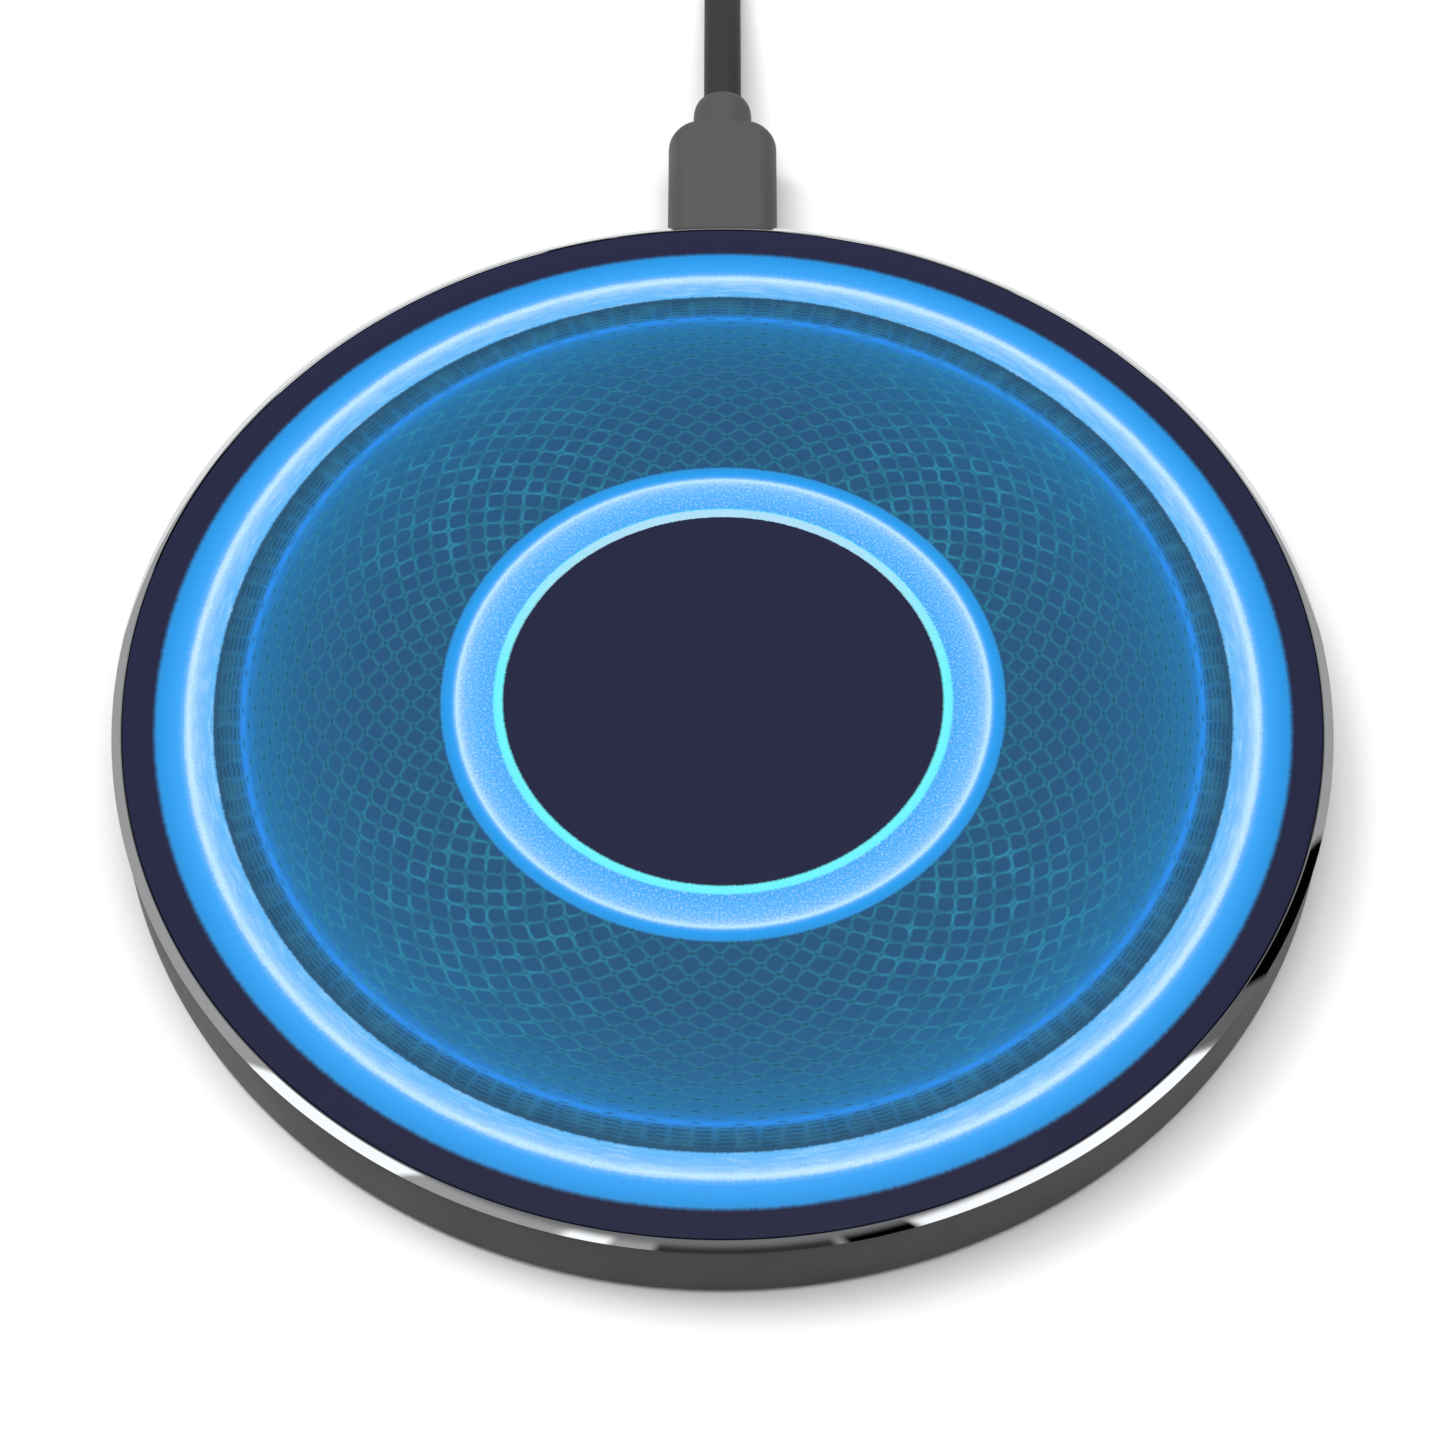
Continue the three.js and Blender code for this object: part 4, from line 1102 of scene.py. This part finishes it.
@dataclass
class ChargingCable:
    """The free cable: out of the plug, down to the table, wound in a coil, and on to its far plug."""

    diameter: float = 3.4 * MM
    pitch: float = 3.45 * MM
    outer_turn: float = 22.15 * MM
    first_layer: float = 2.4 * MM
    behind: float = 55.5 * MM
    sides: int = 24
    steps: int = 5
    turns: int = 7
    knots_per_turn: int = 16
    move_deg: float = 45.0
    exit: Vector = field(default_factory=Vector)

    def __post_init__(self) -> None:
        """Finds where the cable leaves the plug's collar."""
        collar = Span.of("plug_collar")
        self.exit = Vector((0.0, collar.high.y, collar.middle.z))

    @property
    def centre(self) -> Vector:
        """The coil's middle on the table."""
        return Vector((-self.outer_turn, self.exit.y + self.behind, 0.0))

    def turn_place(self, degrees: float) -> tuple[float, float]:
        """The coil's radius and height after turning so far.

        It winds in, up a layer, out, up a layer, and its last part lies over its own start.

        Args:
            degrees: How far the cable has gone round.

        Returns:
            The radius and the height.
        """
        moves = [
            (315.0, -1, 0),
            (675.0, -1, 0),
            (1020.0, 0, 1),
            (1365.0, 1, 0),
            (1725.0, 1, 0),
            (2070.0, 0, 1),
            (2415.0, 0, 1),
        ]
        radius, height = self.outer_turn, self.first_layer
        for start, outward, upward in moves:
            share = min(1.0, max(0.0, (degrees - start) / self.move_deg))
            eased = (1 - math.cos(math.pi * share)) / 2
            radius += outward * eased * self.pitch
            height += upward * eased * self.pitch
        return radius, height

    def knots(self) -> list[Vector]:
        """The points that the cable's middle line goes through."""
        level = self.exit.z / MM
        run = [
            (0.0, -1.2, level),
            (0.0, 1.6, level),
            (0.0, 4.5, 3.9),
            (0.0, 8.5, 3.4),
            (0.0, 12.5, 2.6),
            (0.0, 16.5, 1.95),
            (0.0, 20.5, 1.72),
            (0.0, 25.5, 1.72),
            (0.0, 30.5, 1.72),
            (0.0, 35.5, 1.75),
            (0.0, 42.6, 1.95),
            (0.0, 49.0, 2.3),
        ]
        tail = [
            (0.0, 61.3, 12.7),
            (0.1, 65.4, 12.0),
            (0.2, 69.2, 9.8),
            (0.5, 73.2, 6.9),
            (1.4, 77.4, 4.3),
            (3.8, 81.9, 2.3),
            (8.0, 86.0, 1.75),
            (15.0, 88.5, 1.72),
            (22.5, 86.2, 1.75),
            (27.4, 81.3, 2.0),
            (29.6, 76.0, 3.2),
            (30.0, 70.6, 4.0),
        ]
        turns = []
        for step in range(self.turns * self.knots_per_turn + 1):
            degrees = step * 360 / self.knots_per_turn
            radius, height = self.turn_place(degrees)
            angle = math.radians(degrees)
            place = Vector((math.cos(angle) * radius, math.sin(angle) * radius, height))
            turns.append(self.centre + place)
        start = Vector((0.0, self.exit.y, 0.0))
        before = [start + Vector(p) * MM for p in run]
        after = [start + Vector(p) * MM for p in tail]
        return before + turns + after

    def middle_line(self) -> np.ndarray:
        """The middle line as close points on one smooth curve through the knots."""
        knots = np.array([tuple(p) for p in self.knots()])
        ends = np.vstack([2 * knots[0] - knots[1], knots, 2 * knots[-1] - knots[-2]])
        line = []
        for i in range(1, len(ends) - 2):
            p0, p1, p2, p3 = ends[i - 1 : i + 3]
            gaps = [np.linalg.norm(b - a) ** 0.5 for a, b in ((p0, p1), (p1, p2), (p2, p3))]
            slope_1 = (p1 - p0) / gaps[0] - (p2 - p0) / (gaps[0] + gaps[1]) + (p2 - p1) / gaps[1]
            slope_2 = (p2 - p1) / gaps[1] - (p3 - p1) / (gaps[1] + gaps[2]) + (p3 - p2) / gaps[2]
            slope_1, slope_2 = slope_1 * gaps[1], slope_2 * gaps[1]
            for step in range(self.steps):
                t = step / self.steps
                line.append(
                    (2 * t**3 - 3 * t**2 + 1) * p1
                    + (t**3 - 2 * t**2 + t) * slope_1
                    + (3 * t**2 - 2 * t**3) * p2
                    + (t**3 - t**2) * slope_2
                )
        line.append(knots[-1])
        return np.array(line)

    def jacket(self, line: np.ndarray) -> bpy.types.Object:
        """Skins the middle line with a round jacket and maps it along its length.

        Args:
            line: The middle line's points.

        Returns:
            The jacket, with a map named "wrap".
        """
        ahead = np.gradient(line, axis=0)
        ahead /= np.linalg.norm(ahead, axis=1)[:, None]
        across = np.array([1.0, 0.0, 0.0])
        sections = []
        for place, way in zip(line, ahead):
            across = across - way * (across @ way)
            across /= np.linalg.norm(across)
            up = np.cross(way, across)
            loop = []
            for i in range(self.sides):
                angle = 2 * math.pi * i / self.sides
                out = math.cos(angle) * across + math.sin(angle) * up
                loop.append(Vector(place + out * self.diameter / 2))
            sections.append(loop)
        piece = lofted("charging_cable", sections)
        along = np.concatenate([[0.0], np.cumsum(np.linalg.norm(np.diff(line, axis=0), axis=1))])
        wrap = piece.data.uv_layers.new(name="wrap")
        for loop in piece.data.loops:
            row, column = divmod(loop.vertex_index, self.sides)
            wrap.data[loop.index].uv = (abs(2 * column / self.sides - 1), along[row])
        return piece

    @staticmethod
    def length(line: np.ndarray) -> float:
        """The length of a row of points."""
        return float(np.linalg.norm(np.diff(line, axis=0), axis=1).sum())

    def build(self) -> tuple[bpy.types.Object, np.ndarray]:
        """Makes the cable.

        Returns:
            The cable and its middle line.
        """
        line = self.middle_line()
        piece = self.jacket(line)
        dress(piece, JACKET, Body.CABLE, ("cable_run", "cable_coil", "cable_tail"))
        LOG.info("charging_cable: %.1f mm long", self.length(line) / MM)
        return piece, line


@dataclass
class CableTie:
    """The hook-and-loop strap round the coil, with its end lapped over its start."""

    cable: ChargingCable
    angle_deg: float = 205.0
    width: float = 8.0 * MM
    thickness: float = 0.5 * MM
    corner: float = 1.3 * MM
    lap: float = 11.0 * MM
    play: float = 0.35 * MM
    headroom: float = 0.1 * MM
    step: float = 0.6 * MM

    def build(self) -> bpy.types.Object:
        """Makes the strap as one band that goes once round and laps itself."""
        reach = self.cable.outer_turn
        half = self.cable.diameter / 2
        inner = reach - 2 * self.cable.pitch - half - self.play
        outer = reach + half + self.play
        top = self.cable.first_layer + 2 * self.cable.pitch + half + self.headroom
        gap = self.thickness / 2
        loop = round_rectangle(outer - inner + self.thickness, top + self.thickness - gap, self.corner, 8)
        centre_x, centre_z = (inner + outer) / 2, (top + self.thickness + gap) / 2
        path = [Vector((x + centre_x, 0.0, z + centre_z)) for x, z in loop]
        path = self.spaced(path + [path[0]], self.step)
        extra = path[: int(self.lap / self.step)]
        middle = Vector((centre_x, 0.0, centre_z))
        lifted = []
        for index, point in enumerate(extra):
            rise = min(1.0, index / 4) * self.thickness * 1.05
            lifted.append(point + (point - middle).normalized() * rise)
        band = path[:-1] + lifted
        sections = []
        for index, point in enumerate(band):
            before, after = band[max(0, index - 1)], band[min(len(band) - 1, index + 1)]
            way = (after - before).normalized()
            out = Vector((way.z, 0.0, -way.x))
            corners = [(-1, -1), (1, -1), (1, 1), (-1, 1)]
            sections.append(
                [
                    point
                    + Vector((0.0, side * self.width / 2, 0.0))
                    + out * face * self.thickness / 2
                    for side, face in corners
                ]
            )
        aim = Matrix.Rotation(math.radians(self.angle_deg), 4, "Z")
        turn = Matrix.Translation(self.cable.centre) @ aim
        sections = [[turn @ point for point in section] for section in sections]
        piece = lofted("cable_tie_strap", sections)
        wrap = piece.data.uv_layers.new(name="wrap")
        for loop_corner in piece.data.loops:
            row, column = divmod(loop_corner.vertex_index, 4)
            wrap.data[loop_corner.index].uv = ((column in (1, 2)) * self.width, row * self.step)
        return dress(piece, STRAP, Body.CABLE, ("cable_tie",))

    @staticmethod
    def spaced(points: list[Vector], step: float) -> list[Vector]:
        """Points at even steps along a row of points.

        Args:
            points: The row.
            step: The distance between the new points.

        Returns:
            The new points.
        """
        made, spare = [points[0]], 0.0
        for a, b in zip(points, points[1:]):
            length = (b - a).length
            place = step - spare
            while place <= length:
                made.append(a.lerp(b, place / length))
                place += step
            spare = length - (place - step)
        return made


# ------------------------------------------------------------------ plug bodies


@dataclass
class MouldedBody:
    """A plug's overmoulded body along Y: round sides, round back shoulders and broken edges."""

    name: str
    node: str
    side_radius: float
    shoulder_radius: float
    edge: float = 0.28 * MM
    side_rise: float = 0.0
    edge_steps: int = 6
    shoulder_steps: int = 14

    def section(self, y: float, width: float, height: float, centre: Vector) -> list[Vector]:
        """One loop across the body at a place along it."""
        outline = round_rectangle(width, height, self.side_radius, rise=self.side_rise)
        return [Vector((centre.x + x, y, centre.z + z)) for x, z in outline]

    def build(self) -> bpy.types.Object:
        """Lofts the body between its front and back faces."""
        span = Span.of(self.node)
        centre, size = span.middle, span.size
        front, back = span.low.y, span.high.y
        sections = []
        for i in range(self.edge_steps + 1):
            angle = i / self.edge_steps * math.pi / 2
            inset = self.edge * (1 - math.sin(angle))
            y = front + self.edge * (1 - math.cos(angle))
            sections.append(self.section(y, size.x - 2 * inset, size.z - 2 * inset, centre))
        for i in range(self.shoulder_steps + 1):
            angle = i / self.shoulder_steps * math.pi / 2
            drawn = self.shoulder_radius * (1 - math.cos(angle))
            y = back - self.shoulder_radius * (1 - math.sin(angle))
            past = max(0.0, y - (back - self.edge))
            round_off = self.edge - math.sqrt(max(0.0, self.edge**2 - past**2))
            sections.append(self.section(y, size.x - 2 * drawn, size.z - 2 * round_off, centre))
        return lofted(self.name, sections, 50.0)


@dataclass
class PadPlug:
    """The plug in the pad: its body and the domed collar that the cable comes out of."""

    dome: float = 1.9 * MM
    dome_steps: int = 12
    fullness: float = 0.75
    cable_radius: float = 1.7 * MM
    play: float = 0.05 * MM
    overlap: float = 0.2 * MM
    short: float = 0.45 * MM

    def build(self) -> list[bpy.types.Object]:
        """Makes the body and the collar."""
        body = MouldedBody("plug_body", "plug_overmold", 1.8 * MM, 1.4 * MM, side_rise=2.7 * MM).build()
        dress(body, PLUG_PLASTIC, Body.CABLE, ("plug_overmold",))
        return [body, self.collar()]

    def collar(self) -> bpy.types.Object:
        """A short round collar that ends in a dome."""
        span = Span.of("plug_collar")
        radius = span.size.x / 2
        front, back = span.low.y - self.overlap, span.high.y - self.short
        end = self.cable_radius + self.play
        profile = [(0.0, front), (radius, front), (radius, back - self.dome)]
        for i in range(1, self.dome_steps + 1):
            angle = i / self.dome_steps * math.pi / 2
            out, along = math.cos(angle) ** self.fullness, math.sin(angle) ** self.fullness
            profile.append((end + (radius - end) * out, back - self.dome * (1 - along)))
        profile.append((0.0, back))
        piece = turned("plug_collar_dome", profile, 96, closed=False, crease=50.0)
        lay = Matrix.Translation((0.0, 0.0, span.middle.z)) @ Matrix.Rotation(-math.pi / 2, 4, "X")
        piece.data.transform(lay)
        return dress(piece, PLUG_PLASTIC, Body.CABLE, ("plug_collar",))


@dataclass
class FarPlug:
    """The USB-A type plug on the cable's far end, with its ribbed strain relief."""

    rib_count: int = 5
    rib_radius: float = 0.42 * MM
    root_inset: float = 0.35 * MM
    tip_inset: float = 0.9 * MM

    def build(self) -> list[bpy.types.Object]:
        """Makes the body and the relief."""
        body = MouldedBody("far_plug_body", "usb_a_overmold", 2.0 * MM, 2.5 * MM, 0.5 * MM).build()
        dress(body, PLUG_PLASTIC, Body.CABLE, ("usb_a_overmold",))
        return [body, self.relief()]

    def relief(self) -> bpy.types.Object:
        """A tapered relief whose ribs are laid along it one by one."""
        span = Span.of("usb_a_strain_relief")
        radius = span.size.x / 2
        recipe = Recipe(
            "far_plug_relief",
            {
                "Length": span.size.y,
                "Root radius": radius - self.root_inset,
                "Tip radius": radius - self.tip_inset,
                "Rib radius": self.rib_radius,
                "Rib count": self.rib_count,
            },
        )
        given = recipe.given
        core = recipe.add(
            "GeometryNodeMeshCone",
            {
                "Vertices": 64,
                "Radius Bottom": given["Root radius"],
                "Radius Top": given["Tip radius"],
                "Depth": given["Length"],
            },
            fill_type="NGON",
        )
        hoop = recipe.add("GeometryNodeCurvePrimitiveCircle", {"Resolution": 64, "Radius": 1.0})
        row = recipe.add("GeometryNodeMeshLine", {"Count": given["Rib count"]}, mode="OFFSET")
        number = recipe.add("GeometryNodeInputIndex")
        share = recipe.add("ShaderNodeMath", {0: number, 1: given["Rib count"]}, operation="DIVIDE")
        rise = recipe.add("ShaderNodeMath", {0: share, 1: given["Length"]}, operation="MULTIPLY")
        lift = recipe.add("ShaderNodeMath", {0: rise, 1: given["Rib radius"]}, operation="ADD")
        spot = recipe.add("ShaderNodeCombineXYZ", {2: lift})
        placed = recipe.add("GeometryNodeSetPosition", {"Geometry": row, "Position": spot})
        hoop_size = recipe.add(
            "ShaderNodeMapRange",
            {0: share, 1: 0.0, 2: 1.0, 3: given["Root radius"], 4: given["Tip radius"]},
        )
        hoops = recipe.add(
            "GeometryNodeInstanceOnPoints", {"Points": placed, "Instance": hoop, "Scale": hoop_size}
        )
        real_hoops = recipe.add("GeometryNodeRealizeInstances", {0: hoops})
        wire = recipe.add(
            "GeometryNodeCurvePrimitiveCircle", {"Resolution": 12, "Radius": given["Rib radius"]}
        )
        ribs = recipe.add("GeometryNodeCurveToMesh", {"Curve": real_hoops, "Profile Curve": wire})
        both = add_node(recipe.tree, "GeometryNodeJoinGeometry").node
        recipe.tree.links.new(core, both.inputs[0])
        recipe.tree.links.new(ribs, both.inputs[0])
        piece = recipe.made(both.outputs[0], PLUG_PLASTIC)
        root = Matrix.Translation((span.middle.x, span.low.y, span.middle.z))
        lay = root @ Matrix.Rotation(-math.pi / 2, 4, "X")
        piece.data.transform(lay)
        return dress(piece, PLUG_PLASTIC, Body.CABLE, ("usb_a_strain_relief",))


# ------------------------------------------------------------------ casing


@dataclass
class Casing:
    """The pad's own shell: panel, bezel ring, base and the anti-slip ring under it."""

    corner: float = 0.5 * MM
    seam: float = 0.1 * MM
    chamfer: float = 0.6 * MM
    chamfer_width: float = 0.74 * MM
    upright: float = 0.1 * MM
    lip_rise: float = 1.5 * MM
    shoulder_rise: float = 1.1 * MM
    skirt_wall: float = 0.75 * MM
    skirt_inset: float = 1.7 * MM
    tongue_inset: float = 0.55 * MM
    play: float = 0.1 * MM
    wall: float = 1.5 * MM
    floor: float = 1.2 * MM
    port: tuple[float, float] = (8.4 * MM, 3.4 * MM)
    port_corner: float = 1.0 * MM
    port_centre: float = 4.0 * MM
    lamp_deg: float = 73.0
    lamp_bore: float = 0.85 * MM
    groove_width: float = 7.2 * MM
    foot_width: float = 7.0 * MM
    foot_break: float = 0.1 * MM
    rib_height: float = 0.06 * MM
    rib_width: float = 0.7 * MM
    rib_count: int = 96

    def build(self) -> list[bpy.types.Object]:
        """Makes the four outer pieces."""
        return [self.panel(), self.bezel(), self.base(), self.foot()]

    def panel(self) -> bpy.types.Object:
        """The printed sheet, with its top edge just broken."""
        span = Span.of("top_panel")
        radius, low, high = span.size.x / 2, span.low.z, span.high.z
        edge = 0.08 * MM
        profile = [(0.0, low), (radius, low), (radius, high - edge)]
        profile += [(radius - edge * 0.3, high - edge * 0.3), (radius - edge, high)]
        profile += [(radius * share, high) for share in (0.9, 0.6, 0.3)]
        profile.append((0.0, high))
        piece = turned("printed_top_panel", profile, 288, closed=False)
        return dress(piece, PRINTED_PANEL, Body.PAD, ("top_panel",))

    def bezel(self) -> bpy.types.Object:
        """The plated ring: a narrow flat lip, a chamfer and a short upright edge."""
        span = Span.of("bezel_ring")
        outer, low, high = span.size.x / 2, span.low.z, span.high.z
        lip = Span.of("top_panel").size.x / 2 + self.play
        soft = 0.03 * MM
        fold, edge_low = high - self.chamfer, high - self.chamfer - self.upright
        tongue, skirt = outer - self.tongue_inset, outer - self.skirt_inset
        profile = [
            (lip, low + self.lip_rise),
            (skirt - self.skirt_wall, low + self.lip_rise),
            (skirt - self.skirt_wall, low),
            (skirt, low),
            (skirt, low + self.shoulder_rise),
            (tongue, low + self.shoulder_rise),
            (tongue, edge_low),
            (outer - 0.1 * MM, edge_low),
            (outer - 0.02 * MM, fold - soft / 2),
            (outer, fold + soft / 4),
            (outer - soft, fold + soft),
            (outer - self.chamfer_width + soft, high - soft),
            (outer - self.chamfer_width - soft, high),
            (lip + soft, high),
            (lip, high - soft),
        ]
        piece = turned("bezel_ring_plated", profile, 360, crease=30.0)
        return dress(piece, CHROME, Body.PAD, ("bezel_ring",))

    def base(self) -> bpy.types.Object:
        """The moulded base, with the port and the lamp's hole cut in its wall."""
        span = Span.of("base_shell")
        foot = Span.of("anti_slip_ring")
        board = Span.of("circuit_board")
        outer, low = span.size.x / 2, span.low.z
        high = Span.of("bezel_ring").high.z - self.chamfer - self.upright - self.seam
        inner, floor = outer - self.wall, low + self.floor
        tray = Span.of("coil_tray")
        groove_out = foot.size.x / 2 + self.play
        groove_in = groove_out - self.groove_width
        edge = 0.12 * MM
        profile = [(0.0, low), (groove_in, low), (groove_in, foot.high.z)]
        profile += [(groove_out, foot.high.z), (groove_out, low)]
        for i in range(9):
            angle = i / 8 * math.pi / 2
            inset, rise = self.corner * (1 - math.sin(angle)), self.corner * (1 - math.cos(angle))
            profile.append((outer - inset, low + rise))
        profile += [(outer, high - edge), (outer - edge * 0.3, high - edge * 0.3)]
        profile += [(outer - edge, high), (inner, high), (inner, floor)]
        profile += [(tray.size.x / 2, floor), (tray.size.x / 2, tray.low.z)]
        profile.append((0.0, tray.low.z))
        piece = turned("base_shell_moulded", profile, 256, closed=False)
        opening = round_rectangle(*self.port, self.port_corner)
        rows = [board.high.y - 1.0 * MM, outer + 2.0 * MM]
        loops = [[Vector((x, y, z + self.port_centre)) for x, z in opening] for y in rows]
        port = lofted("port_cut", loops)
        pipe = Span.of("light_pipe")
        depth = 8.0 * MM
        bore = [(0.0, 0.0), (self.lamp_bore, 0.0), (self.lamp_bore, depth), (0.0, depth)]
        hole = turned("lamp_cut", bore, 32, closed=False)
        aim = Matrix.Rotation(math.radians(self.lamp_deg), 4, "Z") @ Matrix.Rotation(math.pi / 2, 4, "Y")
        place = Matrix.Translation((0.0, 0.0, pipe.middle.z)) @ aim
        hole.data.transform(place @ Matrix.Translation((0.0, 0.0, inner - 2 * MM)))
        cut_out(piece, [port, hole])
        return dress(piece, BASE_PLASTIC, Body.PAD, ("base_shell",))

    def foot(self) -> bpy.types.Object:
        """The anti-slip ring, with short ribs laid round it as instances."""
        span = Span.of("anti_slip_ring")
        outer, low, high = span.size.x / 2, span.low.z, span.high.z
        width, rib = self.foot_width, self.rib_height
        sizes = {"Radius": outer - width / 2, "Width": width, "Rib": rib, "Rib count": self.rib_count}
        recipe = Recipe("anti_slip_ring_ribbed", sizes)
        given = recipe.given
        profile = [
            (outer, low + rib + self.foot_break),
            (outer, high),
            (outer - width, high),
            (outer - width, low + rib + self.foot_break),
            (outer - width + self.foot_break, low + rib),
            (outer - self.foot_break, low + rib),
        ]
        body = turned("foot_body", profile, 192)
        ring = recipe.add(
            "GeometryNodeMeshCircle", {"Vertices": given["Rib count"], "Radius": given["Radius"]}
        )
        size = recipe.add("ShaderNodeCombineXYZ", {0: given["Width"], 1: self.rib_width, 2: given["Rib"]})
        shrink = recipe.add("ShaderNodeVectorMath", {0: size, 1: (0.84, 1.0, 2.0)}, operation="MULTIPLY")
        bar = recipe.add("GeometryNodeMeshCube", {"Size": shrink})
        number = recipe.add("GeometryNodeInputIndex")
        share = recipe.add("ShaderNodeMath", {0: number, 1: given["Rib count"]}, operation="DIVIDE")
        angle = recipe.add("ShaderNodeMath", {0: share, 1: 2 * math.pi}, operation="MULTIPLY")
        turn = recipe.add("ShaderNodeCombineXYZ", {2: angle})
        bars = recipe.add(
            "GeometryNodeInstanceOnPoints", {"Points": ring, "Instance": bar, "Rotation": turn}
        )
        ribs = recipe.made(bars, SILICONE)
        ribs.data.transform(Matrix.Translation((0.0, 0.0, low + rib)))
        joined = bmesh.new()
        joined.from_mesh(body.data)
        joined.from_mesh(ribs.data)
        joined.to_mesh(ribs.data)
        joined.free()
        bpy.data.objects.remove(body)
        soften(ribs.data, 35.0)
        return dress(ribs, SILICONE, Body.PAD, ("anti_slip_ring",))


@dataclass
class PowerCoil:
    """The transmitter coil: one flat spiral of enamelled wire."""

    turns: float = 9.0
    inner: float = 10.7 * MM
    pitch: float = 1.15 * MM
    wire_radius: float = 0.5 * MM

    def build(self) -> bpy.types.Object:
        """Winds the wire along a spiral."""
        span = Span.of("charging_coil")
        recipe = Recipe(
            "charging_coil_wound",
            {
                "Turns": self.turns,
                "Inner radius": self.inner,
                "Outer radius": self.inner + self.turns * self.pitch,
                "Wire radius": self.wire_radius,
            },
        )
        given = recipe.given
        path = recipe.add(
            "GeometryNodeCurveSpiral",
            {
                "Resolution": 64,
                "Rotations": given["Turns"],
                "Start Radius": given["Inner radius"],
                "End Radius": given["Outer radius"],
                "Height": 0.0,
            },
        )
        wire = recipe.add(
            "GeometryNodeCurvePrimitiveCircle", {"Resolution": 10, "Radius": given["Wire radius"]}
        )
        wound = recipe.add(
            "GeometryNodeCurveToMesh", {"Curve": path, "Profile Curve": wire, "Fill Caps": True}
        )
        piece = recipe.made(wound, WIRE)
        place = Matrix.Translation((0.0, 0.0, span.middle.z)) @ Matrix.Rotation(math.pi / 2, 4, "Z")
        piece.data.transform(place)
        return dress(piece, WIRE, Body.PAD, ("charging_coil",))


@dataclass
class PackedParts:
    """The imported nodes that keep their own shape, each with its finish."""

    finishes: dict[Finish, tuple[str, ...]] = field(
        default_factory=lambda: {
            TAPE: ("panel_adhesive", "coil_adhesive"),
            INNER_PLASTIC: ("top_frame", "coil_tray"),
            STEEL: (
                *(f"case_screw_{i}" for i in range(1, 5)), *(f"board_screw_{i}" for i in range(1, 3))
            ),
            FERRITE: ("ferrite_sheet",),
            LEAD_COPPER: ("coil_lead_inner", "coil_lead_outer"),
            CLEAR: ("thermistor", "light_pipe"),
            BOARD: ("circuit_board",),
            TIN: ("usb_socket_shell", "plug_shell", "usb_a_shell", "clock_crystal"),
            BLACK_NYLON: ("usb_socket_tongue", "plug_insulator"),
            CHIP: ("power_inductor", "controller_chip", "driver_chip"),
            CERAMIC: (
                "input_capacitor_1",
                "input_capacitor_2",
                *(f"resonant_capacitor_{i}" for i in range(1, 5)),
            ),
            WHITE_NYLON: ("status_led", "usb_a_insulator"),
            GOLD: tuple(f"usb_a_contact_{i}" for i in range(1, 5)),
        }
    )

    def dress(self) -> None:
        """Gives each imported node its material."""
        for finish, nodes in self.finishes.items():
            for node in nodes:
                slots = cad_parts[node].data.materials
                slots.clear()
                slots.append(finish.material())
            LOG.info("%s: %s", finish.name, ", ".join(nodes))


def main() -> None:
    """Builds the studio and every sub-assembly."""
    logging.basicConfig(level=logging.INFO, format="%(message)s")
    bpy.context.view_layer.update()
    Studio().build()
    cable = ChargingCable()
    jacket, line = cable.build()
    tie = CableTie(cable).build()
    PadPlug().build()
    far_plug = FarPlug().build()
    Casing().build()
    PowerCoil().build()
    PackedParts().dress()
    tuple(cable.exit)
    cable.length(line)
    bpy.context.scene.view_settings.view_transform = "Standard"


if __name__ == "__main__":
    main()
